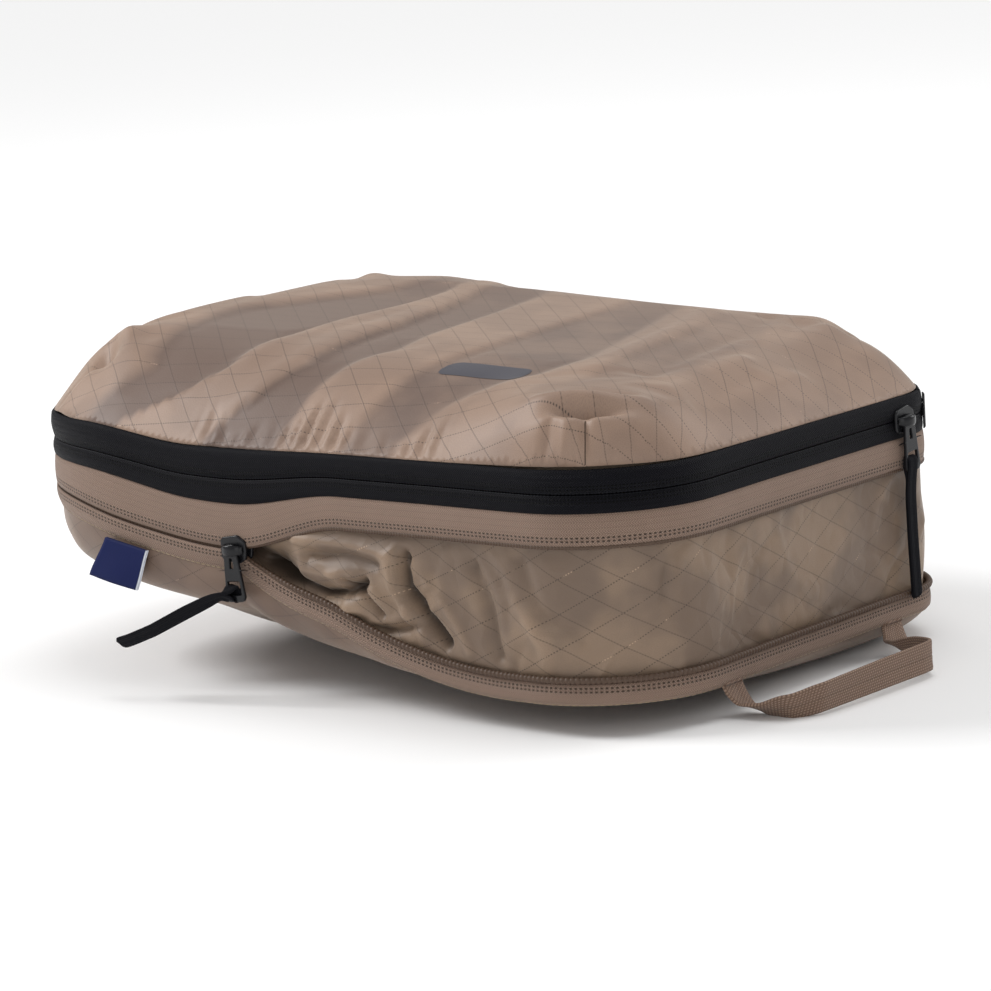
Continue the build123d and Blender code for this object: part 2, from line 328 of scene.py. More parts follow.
def block_on_wall(name, s, low, high, inner, outer, material):
    """A small plate that follows the wall, with eased edges."""
    ease = 0.25 * (outer - inner)
    section = np.array([(outer - ease, low), (outer, low + ease), (outer, high - ease), (outer - ease, high),
                        (inner, high), (inner, low)])
    radial, z = (section[:, i][None] + 0 * s[:, None] for i in (0, 1))
    return tube_on_wall(name, s, radial, z, z - low, material)


def apply_modifiers(obj):
    """Bakes the modifiers into the mesh."""
    deps = bpy.context.evaluated_depsgraph_get()
    mesh = bpy.data.meshes.new_from_object(obj.evaluated_get(deps), depsgraph=deps)
    old = obj.data
    obj.modifiers.clear()
    obj.data = mesh
    bpy.data.meshes.remove(old)
    mesh.name = obj.name
    mesh.shade_smooth()


def thicken(obj, thickness, offset=-1.0):
    """Gives a sheet its thickness in mm: inwards at offset -1, outwards at 1, both ways at 0."""
    solid = obj.modifiers.new("Thickness", "SOLIDIFY")
    solid.thickness = thickness * MM
    solid.offset = offset
    apply_modifiers(obj)


def subdivide(obj):
    """Halves the mesh's steps, smoothly."""
    obj.modifiers.new("Subdivide", "SUBSURF").levels = 1
    apply_modifiers(obj)


def join(parts):
    """Several meshes as one object."""
    with bpy.context.temp_override(active_object=parts[0], selected_editable_objects=parts):
        bpy.ops.object.join()
    return parts[0]


def place(obj, body, node):
    """Shows obj for a CAD node and lets it ride on a body."""
    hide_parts(node)
    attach(obj, body)


def place_on_base_edge(obj, node):
    """For a piece on the bottom panel's edge, which is zipped to the frame at the -X end: hides its CAD node
    and fixes the piece in place.
    """
    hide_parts(node)
    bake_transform(obj)


def squash_down(obj):
    """Gives a piece its own copy of its mesh."""
    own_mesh(obj)


# Cloth

DRAPE_FRAMES = 20
STIFFNESS = 14
CLOTH_SETTINGS = {
    "quality": 8, "mass": 0.12, "air_damping": 6, "bending_stiffness": 0.4,
    "vertex_group_mass": "pins", "use_pressure": True,
    "tension_stiffness": STIFFNESS, "compression_stiffness": STIFFNESS, "shear_stiffness": STIFFNESS / 2,
}


def pin_group(obj, pins):
    """A vertex group that holds each point of the cloth as firmly as pins says."""
    group = obj.vertex_groups.new(name="pins")
    for weight in sorted(set(pins.round(2))):
        if weight > 0:
            group.add(np.flatnonzero(pins.round(2) == weight).tolist(), float(weight), "REPLACE")


def drape(obj, pins, rest, pressure, travel):
    """Runs the cloth; rest is its slack shape in mm, and travel caps how far a point moves, in mm."""
    start = coordinates(obj.data)
    pin_group(obj, pins)
    obj.shape_key_add(name="Basis")
    slack = obj.shape_key_add(name="slack")
    slack.data.foreach_set("co", (rest * MM).ravel())
    slack.value = 0
    cloth = obj.modifiers.new("Drape", "CLOTH")
    settings = cloth.settings
    for key, value in CLOTH_SETTINGS.items():
        setattr(settings, key, value)
    settings.rest_shape_key = slack
    settings.uniform_pressure_force = pressure
    settings.effector_weights.gravity = 0
    cloth.collision_settings.use_collision = False
    cloth.point_cache.frame_start = 1
    cloth.point_cache.frame_end = DRAPE_FRAMES
    for number in range(1, DRAPE_FRAMES + 1):
        bpy.context.scene.frame_set(number)
    moved = coordinates(obj.evaluated_get(bpy.context.evaluated_depsgraph_get()).data)
    obj.modifiers.remove(cloth)
    obj.shape_key_clear()
    step = moved - start
    length = np.linalg.norm(step, axis=1)
    share = np.minimum(1, travel * MM / np.maximum(length, 1e-9))
    move_points(obj.data, start + step * share[:, None])
    bpy.context.scene.frame_set(1)


# Materials

class Shader:
    """A Principled material whose inputs are worked out by small node helpers."""

    def __init__(self, name, roughness=0.6, specular=0.5):
        self.material = bpy.data.materials.new(name)
        self.material.use_nodes = True
        self.tree = self.material.node_tree
        self.principled = self.tree.nodes["Principled BSDF"]
        self.set("Roughness", roughness)
        self.set("Specular IOR Level", specular)

    def feed(self, node, key, value):
        if isinstance(value, bpy.types.NodeSocket):
            self.tree.links.new(value, node.inputs[key])
        else:
            node.inputs[key].default_value = value

    def set(self, key, value):
        self.feed(self.principled, key, value)

    def node(self, kind, inputs=(), **options):
        """A node with its options set and its inputs fed, as a dictionary by name or in order."""
        made = self.tree.nodes.new("ShaderNode" + kind)
        for option, value in options.items():
            setattr(made, option, value)
        pairs = inputs.items() if isinstance(inputs, dict) else enumerate(inputs)
        for key, value in pairs:
            self.feed(made, key, value)
        return made

    def math(self, operation, a, b=0.0, c=0.0):
        return self.node("Math", (a, b, c), operation=operation).outputs[0]

    def times(self, a, b):
        return self.math("MULTIPLY", a, b)

    def wave(self, value, half):
        """A zigzag from 0 up to half and back."""
        return self.math("PINGPONG", value, half)

    def stored(self, name):
        """A named vector of the mesh, and its parts."""
        vector = self.node("Attribute", attribute_name=name).outputs["Vector"]
        return self.node("SeparateXYZ", (vector,)).outputs, vector

    def weave(self):
        """The cloth coordinates in mm as (u, v) and the vector."""
        parts, vector = self.stored("weave")
        return parts[0], parts[1], vector

    def noise(self, vector, scale, detail=2.0):
        return self.node("TexNoise", {"Vector": vector, "Scale": scale, "Detail": detail}).outputs[0]

    def band(self, value, low, high, falling=False):
        """0 to 1 between low and high, smoothly; falling turns it round."""
        ends = (1.0, 0.0) if falling else (0.0, 1.0)
        return self.node("MapRange", (value, low, high, *ends), interpolation_type="SMOOTHSTEP").outputs[0]

    def mix(self, factor, a, b):
        return self.node("Mix", {0: factor, 6: a, 7: b}, data_type="RGBA").outputs[2]

    def bump(self, height, strength, distance):
        made = self.node("Bump", {"Height": height, "Strength": strength, "Distance": distance})
        self.set("Normal", made.outputs[0])


def colour(red, green, blue):
    return (red, green, blue, 1.0)


def tone(shade, share):
    """A colour at a share of its brightness."""
    return colour(*(min(1, share * part) for part in shade[:3]))


# Ripstop: distance between threads and half a thread's width in mm, and how far the threads lean
RIP_SPACING = 12.6
THREAD = 0.26
RIP_ANGLE = math.radians(28)


def rip_lines(shader, u, v, side):
    """One family of ripstop threads: (line mask, place along the line)."""
    sine, cosine = math.sin(RIP_ANGLE), math.cos(RIP_ANGLE) * side
    line_across = shader.math("ADD", shader.times(u, sine), shader.times(v, cosine))
    along = shader.math("SUBTRACT", shader.times(u, cosine), shader.times(v, sine))
    cell = shader.wave(line_across, RIP_SPACING / 2)
    return shader.band(cell, THREAD * 0.5, THREAD * 1.3, falling=True), along


def shell_base(shader, vector, warm, cool, shaped):
    """The sheer cloth's tone: warm and cool at random, where what lies behind it shows through. On the lid
    the sunk bands are painted cool, partly as the shade of its folds and partly as what lies behind; on the
    gusset the hollows get painted shade and the crests a painted highlight.
    """
    warmth = shader.band(shader.noise(vector, 0.022, 3.0), 0.42, 0.6)
    if shaped == "fold":
        # Painted shade: the lid's sunk bands turn cooler and darker, partly as the folds' shade and partly as
        # the contents behind the sheer cloth.
        sunk = shader.stored("fold")[0][0]
        warmth = shader.math("SUBTRACT", shader.math("MULTIPLY_ADD", warmth, 0.3, 0.7), sunk)
        warmth = shader.math("MAXIMUM", warmth, 0.0)
    base = shader.mix(warmth, cool, warm)
    if shaped == "crease":
        # Painted shade in the gusset's hollows and a painted highlight on its crests, taken from the crease
        # height.
        height = shader.stored("crease")[0][0]
        base = shader.mix(shader.band(height, -7.0, -0.6, falling=True), base, tone(cool, 0.35))
        base = shader.mix(shader.band(height, 0.5, 4.0), base, tone(warm, 1.22))
    grain = shader.band(shader.noise(vector, 2.6, 2.0), 0.4, 0.7)
    return shader.mix(shader.times(grain, 0.22), base, tone(cool, 0.6))


def shell_cloth(name, warm, cool, gold, shaped=""):
    """Sheer ripstop: a diamond grid of threads over two tones, some threads glinting, and a satin sheen."""
    shader = Shader(name, roughness=0.5, specular=0.35)
    u, v, vector = shader.weave()
    base = shell_base(shader, vector, warm, cool, shaped)
    lines = []
    for side, sharp in ((1, 0.5), (-1, 1.0)):
        mask, along = rip_lines(shader, u, v, side)
        dash = shader.band(shader.wave(along, 0.65), 0.26, 0.40)
        lines.append(shader.times(mask, shader.math("MULTIPLY_ADD", dash, sharp, 1 - sharp)))
    dark_thread, light_thread = tone(cool, 0.3), tone(warm, 1.8)
    lit = shader.band(shader.noise(vector, 0.09, 2.0), gold, gold + 0.05)
    base = shader.mix(shader.times(lines[0], 0.55), base, dark_thread)
    thread = shader.mix(lit, dark_thread, light_thread)
    shader.set("Base Color", shader.mix(shader.times(lines[1], 0.8), base, thread))
    shader.set("Sheen Weight", 0.25)
    shader.set("Sheen Roughness", 0.35)
    shader.set("Sheen Tint", colour(1.0, 0.88, 0.76))
    ridges = shader.math("MAXIMUM", lines[0], lines[1])
    fine = shader.noise(vector, 1.3, 3.0)
    height = shader.math("ADD", shader.times(fine, 0.5), shader.times(ridges, 0.3))
    if shaped == "crease":
        crinkle = shader.wave(shader.noise(vector, 0.03, 2.5), 0.075)
        height = shader.math("MULTIPLY_ADD", crinkle, 26.0, height)
    shader.bump(height, 0.35, 0.0004)
    return shader.material


def tape_cloth(name, base, dark, worn, rows, specular, sheen):
    """Herringbone tape. rows: stitch rows as (distance from the coil edge, pitch, share stitched, colour)."""
    shader = Shader(name, specular=specular)
    u, v, vector = shader.weave()
    rib = shader.wave(v, 1.25)
    slant = shader.math("ADD", u, shader.times(rib, 1.2))
    thread = shader.band(shader.wave(slant, 0.55), 0.12, 0.42)
    valley = shader.band(rib, 0.0, 0.25)
    thread = shader.times(thread, shader.math("MULTIPLY_ADD", valley, 0.6, 0.4))
    shade = shader.mix(thread, dark, base)
    shade = shader.mix(shader.times(shader.noise(vector, 0.05, 3.0), 0.3), shade, worn)
    sunk = 0.0
    for row, pitch, share, mark_colour in rows:
        off = shader.math("ABSOLUTE", shader.math("SUBTRACT", v, row))
        on_row = shader.band(off, 0.24, 0.46, falling=True)
        low, high = (pitch * (0.5 * share + change) for change in (-0.06, 0.06))
        mark = shader.times(on_row, shader.band(shader.wave(u, pitch / 2), low, high, falling=True))
        shade = shader.mix(shader.times(mark, 0.92), shade, mark_colour)
        sunk = shader.math("MAXIMUM", mark, sunk)
    shader.set("Base Color", shade)
    shader.set("Sheen Weight", sheen)
    shader.bump(shader.math("SUBTRACT", thread, shader.times(sunk, 2.0)), 0.8, 0.0005)
    return shader.material


def plain(name, base, roughness, grain=0.0, grain_scale=900.0, specular=0.5):
    """One colour with a little grain in its tone and surface."""
    shader = Shader(name, roughness, specular)
    made = shader.noise(shader.node("TexCoord").outputs["Object"], grain_scale, 3.0)
    lighter = colour(*(min(1, part * 1.25 + 0.004) for part in base[:3]))
    shader.set("Base Color", shader.mix(made, base, lighter))
    if grain:
        shader.bump(made, grain, 0.0002)
    return shader.material


def webbing(name, base, dark, rib, row, sheen):
    """Ribbed webbing: bars across it, finer threads along it and a stitch line down the middle."""
    shader = Shader(name, roughness=0.75, specular=0.07)
    u, v, _ = shader.weave()
    slanted = shader.math("ADD", u, shader.times(v, 0.4))
    bars = shader.band(shader.wave(slanted, rib / 2), 0.05, rib * 0.4)
    cords = shader.band(shader.wave(v, 0.6), 0.05, 0.5)
    threads = shader.times(bars, cords)
    line = shader.band(shader.math("ABSOLUTE", v), 0.15, row, falling=True)
    seam = shader.times(line, shader.band(shader.wave(u, 1.3), 0.25, 0.5))
    shade = shader.mix(threads, dark, base)
    shader.set("Base Color", shader.mix(shader.times(seam, 0.8), shade, dark))
    shader.set("Sheen Weight", sheen)
    shader.bump(shader.math("SUBTRACT", threads, seam), 0.6, 0.0004)
    return shader.material


def label_cloth():
    """Blank navy label with a white woven edge along +u."""
    shader = Shader("label_navy", specular=0.12)
    u, v, _ = shader.weave()
    edge = shader.band(u, 12.6, 13.1)
    satin = shader.band(shader.wave(v, 0.25), 0.02, 0.2)
    navy = shader.mix(satin, colour(0.005, 0.009, 0.05), colour(0.009, 0.015, 0.08))
    shader.set("Base Color", shader.mix(edge, navy, colour(0.75, 0.78, 0.85)))
    shader.bump(satin, 0.2, 0.0002)
    return shader.material


# Tape colours: thread, the valleys between threads, and worn patches
BROWN = (colour(0.32, 0.224, 0.172), colour(0.175, 0.114, 0.084), colour(0.34, 0.235, 0.18))
BLACK = (colour(0.0052, 0.005, 0.0082), colour(0.002, 0.002, 0.003), colour(0.0062, 0.0062, 0.0095))
# Stitches: colours, then rows as (distance from the coil edge, pitch, share stitched, colour)
HOLE = colour(0.04, 0.025, 0.016)
BLACK_HOLE = colour(0.001, 0.001, 0.001)
GOLD = colour(0.5, 0.38, 0.24)
BROWN_ROWS = ((2.0, 2.1, 0.5, HOLE), (3.5, 2.1, 0.5, HOLE))
LOWER_ROWS = ((1.6, 2.1, 0.5, HOLE), (3.1, 2.1, 0.5, HOLE), (9.0, 3.0, 0.7, GOLD))
BLACK_ROWS = ((1.2, 1.5, 0.5, BLACK_HOLE), (2.6, 1.5, 0.5, BLACK_HOLE))

MATERIALS = {
    "lid": shell_cloth("shell_lid", colour(0.297, 0.2, 0.146), colour(0.142, 0.095, 0.075), 0.66, "fold"),
    "gusset": shell_cloth("shell_gusset", colour(0.245, 0.17, 0.116), colour(0.165, 0.115, 0.083), 0.6,
                          "crease"),
    "bottom": shell_cloth("shell_bottom", colour(0.2, 0.132, 0.096), colour(0.15, 0.1, 0.075), 0.68),
    "brown": tape_cloth("tape_brown", *BROWN, BROWN_ROWS, 0.13, 0.1),
    "lower": tape_cloth("tape_brown_lower", *BROWN, LOWER_ROWS, 0.13, 0.1),
    "black": tape_cloth("tape_black", *BLACK, BLACK_ROWS, 0.075, 0.02),
    "brown_coil": plain("coil_brown", colour(0.072, 0.043, 0.028), 0.45, specular=0.3),
    "black_coil": plain("coil_black", colour(0.005, 0.005, 0.007), 0.5, specular=0.1),
    "binding": plain("binding", colour(0.20, 0.15, 0.11), 0.8, grain=0.4),
    "metal": plain("slider_metal", colour(0.006, 0.006, 0.0075), 0.27, 0.05, 300, 0.27),
    "strap": webbing("strap_black", colour(0.013, 0.013, 0.016), colour(0.007, 0.007, 0.009), 0.7, 0.35, 0.0),
    "webbing": webbing("handle_brown", colour(0.32, 0.22, 0.165), colour(0.155, 0.1, 0.073), 1.5, 0.5, 0.12),
    "label": label_cloth(),
    "mark": plain("mark_print", colour(0.045, 0.043, 0.055), 0.28, specular=0.4),
    "thread": plain("seam_thread", colour(0.06, 0.038, 0.024), 0.8),
}


# Zip tapes and coils

# Mesh steps along tapes and coils, and the distance between the turns of a coil
TAPE_STEP = 2.0
COIL_STEP = 0.28
COIL_PITCH = 1.5
LOWER_COIL_PITCH = 2.1
# The brown tapes' thickness, the black tape's reach below its join, and the length of the main zip's stops
BROWN_T = 0.8
BLACK_LAP = 0.6
STOP_LENGTH = 2.4


def puff(height, edge):
    """A tape's cross-section: it swells between its edges, and its sewn edge rolls in."""
    def face(t):
        from_coil = t if edge == "low" else 1 - t
        return TAPE_T + height * np.sin(math.pi * from_coil) - TAPE_T * smooth(from_coil, 0.88, 1.0)
    return face


def compression_zip():
    """Two tapes and two coils. Where the zip is closed its tapes nearly meet over small sunk coils."""
    s = s_steps(TAPE_STEP)
    x = outline_x(s)
    closed = closed_share(s)
    upper = ribbon("compression_upper_tape", s, frame_line(x) + 1.3 - 0.4 * closed, tape_join(x) + 1.0,
                   puff(0.7, "low"), BROWN_T, 9, MATERIALS["brown"])
    place(upper, "upper_frame", "compression_upper_tape")
    lower = ribbon("compression_lower_tape", s, base_line(x) - TAPE_DROP, base_line(x) - 1.9 + 1.3 * closed,
                   puff(0.6, "high"), BROWN_T, 8, MATERIALS["lower"], "high")
    place_on_base_edge(lower, "compression_lower_tape")
    s = s_steps(COIL_STEP)
    x = outline_x(s)
    closed = closed_share(s)
    upper = beads("compression_upper_coil", s, frame_line(x) + 0.8, 0.3 - 1.2 * closed, (1.05, 0.95),
                  COIL_PITCH, MATERIALS["brown_coil"])
    place(upper, "upper_frame", "compression_upper_coil")
    size = 1.6 - 0.7 * closed
    lower = beads("compression_lower_coil", s, base_line(x) - 0.3, 1.0 - 1.9 * closed, (size, size),
                  LOWER_COIL_PITCH, MATERIALS["brown_coil"])
    place_on_base_edge(lower, "compression_lower_coil")


def main_zip():
    """The black tapes and coils, from one zip end round the front to the other."""
    s = s_steps(TAPE_STEP, S_ZIP_A, S_ZIP_B)
    x = outline_x(s)
    low = ribbon("main_lower_tape", s, tape_join(x) - BLACK_LAP, main_line(x) - 0.7, puff(0.8, "high"),
                 TAPE_T, 8, MATERIALS["black"], "high")
    place(low, "upper_frame", "main_lower_tape")
    high = ribbon("main_upper_tape", s, main_line(x) + 0.7, lid_edge(x), puff(0.9, "low"),
                  TAPE_T, 9, MATERIALS["black"])
    place(high, "lid", "main_upper_tape")
    s = s_steps(COIL_STEP, S_ZIP_A, S_ZIP_B)
    middle = main_line(outline_x(s))
    for side, body, node in ((-1, "upper_frame", "main_lower_coil"), (1, "lid", "main_upper_coil")):
        coil = beads(node, s, middle + side * 0.85, 0.1, (0.85, 0.8), COIL_PITCH, MATERIALS["black_coil"])
        place(coil, body, node)


# The strip behind the lid: how far it runs each way from the middle of the back, and the share of its height
# where its corner parts are cut
HINGE_REACH = 118.0
HINGE_SPLIT = 0.42


def rear_hinge():
    """The tape behind the lid: whole along the back, and cut in line with the zip round each back corner, so
    that its lower part stays with the frame and its upper part goes with the lid."""
    face = puff(0.5, "low")
    black = MATERIALS["black"]
    lows, highs = [], []
    for first, last in ((S_ZIP_B - ROUND + STOP_LENGTH, -HINGE_REACH), (HINGE_REACH, S_ZIP_A - STOP_LENGTH)):
        s = s_steps(TAPE_STEP, first, last)
        x = outline_x(s)
        low, high = tape_join(x) - BLACK_LAP, lid_edge(x)
        cut = low + HINGE_SPLIT * (high - low)
        lows.append(ribbon("rear_hinge_corners_low", s, low, cut, lambda t: face(HINGE_SPLIT * t), TAPE_T, 5,
                           black))
        highs.append(ribbon("rear_hinge_corners_high", s, cut, high,
                            lambda t: face(HINGE_SPLIT + (1 - HINGE_SPLIT) * t), TAPE_T, 7, black))
    place(join(lows), "upper_frame", "rear_hinge_strip")
    place(join(highs), "lid", "rear_hinge_strip")
    s = s_steps(TAPE_STEP, -HINGE_REACH, HINGE_REACH)
    x = outline_x(s)
    strip = ribbon("rear_hinge_strip", s, tape_join(x) - BLACK_LAP, lid_edge(x), face, TAPE_T, 12, black)
    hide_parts("rear_hinge_strip")
    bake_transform(strip)


def zip_ends():
    """Stops and cloth tabs where the main zip ends, and the start stop of the compression zip."""
    for node, start, end, half, inner, outer, material in (
            ("main_zip_stops", 0.0, STOP_LENGTH, 2.3, -0.8, 1.7, "metal"),
            ("main_zip_end_tabs", -0.5, 11.5, 7.0, 1.9, 2.6, "black")):
        parts = []
        for zip_end, way in ((S_ZIP_B, 1), (S_ZIP_A, -1)):
            s = np.linspace(zip_end + way * start, zip_end + way * end, 9)
            middle = float(main_line(outline_x(zip_end)))
            parts.append(block_on_wall(node, s, middle - half, middle + half, inner, outer,
                                       MATERIALS[material]))
        place(join(parts), "upper_frame", node)
    start = -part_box("compression_zip_stop")[0].x / MM
    middle = float(frame_line(outline_x(start)))
    s = start + np.array([-2.6, 0.0])
    stop = block_on_wall("compression_zip_stop", s, middle - 1.2, middle + 1.2, -0.6, 1.6, MATERIALS["metal"])
    place(stop, "upper_frame", "compression_zip_stop")


def bindings():
    """The bound seams inside: folded bands behind each seam line."""
    s = s_steps(4.0)
    x = outline_x(s)
    lows = {"frame_seam_binding": tape_join(x) - 4, "lid_seam_binding": lid_edge(x) - 6,
            "base_seam_binding": base_line(x) - TAPE_DROP}
    made = {node: ribbon(node, s, low, low + 7.0, lambda t: -6.2 + 0.4 * np.sin(math.pi * t), 1.0, 5,
                         MATERIALS["binding"]) for node, low in lows.items()}
    place(made["frame_seam_binding"], "upper_frame", "frame_seam_binding")
    place(made["lid_seam_binding"], "lid", "lid_seam_binding")
    place_on_base_edge(made["base_seam_binding"], "base_seam_binding")


# The lid

# The lid's height over the middle, its slope along x, and how squarely its rounded sides rise
LID_TOP = 143.6
LID_SLOPE = -0.05
ROOF_POWER = 2.3
# The lid's mesh step and how far its weave is turned, and the thickness of all the shell cloth
CLOTH_STEP = 3.6
WEAVE_TURN = math.radians(16)
CLOTH_T = 0.5

# The near corner's seam: its foot, the way in from there, how far the mesh is finer round it, the height it
# ends at, and its cord
DART = np.array([150.5, -120.0])
DART_IN = np.array([-0.5, 0.866])
DART_REACH = 34.0
DART_TOP = 129.5
CORD_RADIUS = 0.26


def nearest_side(x, y):
    """Distance inside the outline and the outward way there. It is convex, so its tangents decide."""
    x, y = np.asarray(x, float), np.asarray(y, float)
    found = np.full(x.shape, 1e9)
    out_x, out_y = np.zeros(x.shape), np.zeros(x.shape)
    for px, py, nx, ny in OUTLINE[::2]:
        gap = (px - x) * nx + (py - y) * ny
        closer = gap < found
        found = np.where(closer, gap, found)
        out_x, out_y = np.where(closer, nx, out_x), np.where(closer, ny, out_y)
    return found, out_x, out_y


def inset(x, y):
    """Distance inside the outline."""
    return nearest_side(x, y)[0]


def shoulder(x, y):
    """How far in the lid's rounded side reaches: steep at the near corner's seam, gentle along the front."""
    width = 62 - 30 * np.maximum(smooth(y, 30, 105), smooth(-x, 95, 160) * smooth(y, -100, -30))
    width = width - 14 * smooth(x, 60, 150) + 22 * smooth(x, 112, 158) * smooth(y, 0, 60)
    near = 1 - smooth(np.hypot(x - DART[0], y - DART[1]), 8, 95)
    return width - (width - 13) * near


def roof(x, y):
    """The stuffed lid without its folds."""
    edge = lid_edge(x)
    t = np.clip(inset(x, y) / shoulder(x, y), 0, 1)
    return edge + (LID_TOP + LID_SLOPE * x - edge) * (1 - (1 - t) ** ROOF_POWER)


def cloth_place(x, y):
    """Where a point of the lid lies in its flat cloth: the rounded sides unroll outwards."""
    depth, nx, ny = nearest_side(x, y)
    width = shoulder(x, y)
    height = LID_TOP + LID_SLOPE * x - lid_edge(x)
    extra = 0 * x
    steps = 12
    for share in (np.arange(steps) + 0.5) / steps:
        t = np.clip(depth / width + (1 - np.clip(depth / width, 0, 1)) * share, 0, 1)
        slope = ROOF_POWER * height / width * (1 - t) ** (ROOF_POWER - 1)
        extra = extra + (np.hypot(1, slope) - 1) * np.maximum(width - depth, 0) / steps
    return x + nx * extra, y + ny * extra


# Sunk bands between the lid's long folds, front to back: the left and the right edge as (y, x), how softly
# each edge falls, and how strong the band is
BANDS = (
    (((-126, -122), (-100, -107), (-60, -118), (-20, -122), (20, -109), (60, -93), (110, -88)),
     ((-126, -104), (-112, -80), (-95, -63), (-60, -59), (20, -60), (60, -65), (110, -76)), 15, 4, 1.0),
    (((-126, -54), (-109, -36), (-87, -23), (-20, -28), (20, -37), (67, -52), (110, -66)),
     ((-124, -12), (-105, -8), (-60, 4), (12, -9), (70, -19), (110, -32)), 4.5, 8, 1.0),
    (((-124, 26), (-100, 33), (-82, 36), (-45, 40), (0, 36), (60, 28), (110, 20)),
     ((-122, 54), (-106, 66), (-95, 78), (-74, 94), (-45, 96), (0, 82), (60, 62), (110, 46)), 6.5, 9, 0.7),
    (((-90, 120), (-60, 116), (-20, 108), (30, 98), (70, 84), (110, 70)),
     ((-90, 128), (-60, 142), (-20, 138), (30, 130), (70, 112), (110, 100)), 5, 10, 0.45),
)
# How deep a full-strength band is sunk
BAND_DEPTH = 2.2


def bands(x, y):
    """How sunk the lid is at a point, 0 to 1, and how strongly a crest stands beside it."""
    sunk, crest = 0 * x, 0 * x
    for left, right, soft_left, soft_right, strength in BANDS:
        gaps = []
        for line, soft, way in ((left, soft_left, 1), (right, soft_right, -1)):
            line = np.array(line, float)
            gap = way * (x - np.interp(y, line[:, 0], line[:, 1]))
            gaps.append(smooth(gap, -soft / 2, soft / 2))
            if soft < 6:
                crest = crest + strength * bump_at(gap + 7, 6)
        sunk = np.maximum(sunk, strength * gaps[0] * gaps[1])
    away = smooth(np.hypot(x - DART[0], y - DART[1]), 34, 60) * (1 - 0.5 * smooth(y, 20, 110))
    return sunk * away, crest * away * (1 - smooth(y, 20, 90))


# Long soft creases on the lid's right side: height (mm), half width, and the line as (x, y)
LID_CREASES = (
    (2.0, 8.0, ((114, -58), (104, -20), (92, 30), (76, 74))),
    (-1.8, 6.0, ((134, -52), (124, -10), (116, 40), (100, 84))),
    (1.6, 4.5, ((154, -66), (147, -34), (142, 4))),
    (-1.6, 4.0, ((163, -62), (157, -34), (154, -6))),
    (1.3, 4.0, ((170, -44), (166, -12), (160, 20))),
    (1.5, 5.0, ((-150, -84), (-140, -40), (-148, 10))),
)


def folds(x, y):
    """How far the lid's folds stand above its roof."""
    sunk, crest = bands(x, y)
    for height, half, line in LID_CREASES:
        crest = crest + height * bump_at(distance_to_line(x, y, line), half)
    inside = smooth(inset(x, y), 2, 18)
    ripple = np.sin((x + 0.35 * y) / 8.5 + 2.2 * np.sin(y / 60)) * (1 - smooth(y, -100, -40))
    heap = 3.0 * spot(x + 84, 34, y - 92, 26)
    return inside * (crest - BAND_DEPTH * sunk * (1 - 0.6 * smooth(y, 30, 100)) + 0.3 * ripple) + heap


def gather_height(x, depth):
    """Small, uneven, slanted gathers where the lid's cloth is crowded into the front of the zip."""
    along = x + 0.08 * depth
    place_in_wave = along / 1.25 + 1.7 * np.sin(along / 11) + 1.1 * np.sin(along / 4.7 + 1)
    wave = np.sin(place_in_wave) + 0.35 * np.sin(0.53 * place_in_wave + 2)
    crowd = smooth(along, -66, -40) * (1 - smooth(along, 62, 86)) * (0.65 + 0.35 * np.sin(along / 9.5 + 0.6))
    reach = 15 + 7 * np.sin(along / 13 + 1) + 4 * np.sin(along / 5.1)
    rise = smooth(depth, 0.2, 3.5) * (1 - smooth(depth, 0.35 * reach, reach))
    return 1.25 * wave * crowd * rise


def hexagonal(step, half_x, half_y):
    """Points on a hexagonal grid over a box."""
    rows = np.arange(-half_y, half_y + step, step * math.sqrt(3) / 2)
    points = []
    for number, y in enumerate(rows):
        shift = step / 2 if number % 2 else 0
        points += [(x + shift, y) for x in np.arange(-half_x, half_x + step, step)]
    return np.array(points)


def filled_outline(step, shrink, centre=None, reach=0.0):
    """Triangles over the outline shrunk by shrink, finer round centre: (points, faces, is rim)."""
    s = s_steps(step)[:-1]
    x, y, nx, ny = outline(s)
    rim = np.stack([x - nx * shrink, y - ny * shrink], -1)
    inner = hexagonal(step, HALF_L, HALF_W)
    if centre is not None:
        extra = hexagonal(step / 2, reach, reach) + centre
        far = np.hypot(*(inner - centre).T) > reach
        close = np.hypot(*(extra - centre).T) <= reach
        inner = np.concatenate([inner[far], extra[close]])
    inner = inner[inset(inner[:, 0], inner[:, 1]) > shrink + 0.45 * step]
    points = [Vector(p) for p in np.concatenate([rim, inner])]
    count = len(rim)
    edges = [(i, (i + 1) % count) for i in range(count)]
    result = delaunay_2d_cdt(points, edges, [], 1, 1e-4)
    flat = np.array([tuple(p) for p in result[0]])
    faces = [list(face) for face in result[2]]
    return flat, faces, inset(flat[:, 0], flat[:, 1]) < shrink + 0.2


def near_dart(x, y):
    """The near corner's seam as moves (outwards, up): a groove up the wall under an eye-shaped hollow."""
    along = (x - DART[0]) * DART_IN[0] + (y - DART[1]) * DART_IN[1]
    across = (x - DART[0]) * DART_IN[1] - (y - DART[1]) * DART_IN[0]
    on_wall = smooth(along, -1, 2) * (1 - smooth(along, 7, 11))
    groove = -2.2 * bump_at(across, 1.3) * on_wall
    cheeks = 2.6 * bump_at(across + 8, 5) * on_wall + 1.4 * bump_at(across - 7, 5) * on_wall
    valley = -2.4 * bump_at(across + 17 - 0.5 * along, 4) * on_wall
    hollow = -10.0 * bump_at(along - 11 - 0.008 * across ** 2, 3.0) * bump_at(across + 1, 16)
    lip = 4.4 * bump_at(along - 17.5 - 0.006 * across ** 2, 4.0) * bump_at(across + 1, 19)
    pinch = -3.0 * bump_at(along - 9, 3) * bump_at(across, 2.5)
    return groove + cheeks + valley + 0.4 * pinch, hollow + lip + pinch


# The other corners' seams: the corner, how far in the seam reaches, and how deep its hollow is
FAR_DARTS = ((-1, -1, 26, 8.0), (1, 1, 22, 3.0), (-1, 1, 16, 2.5))


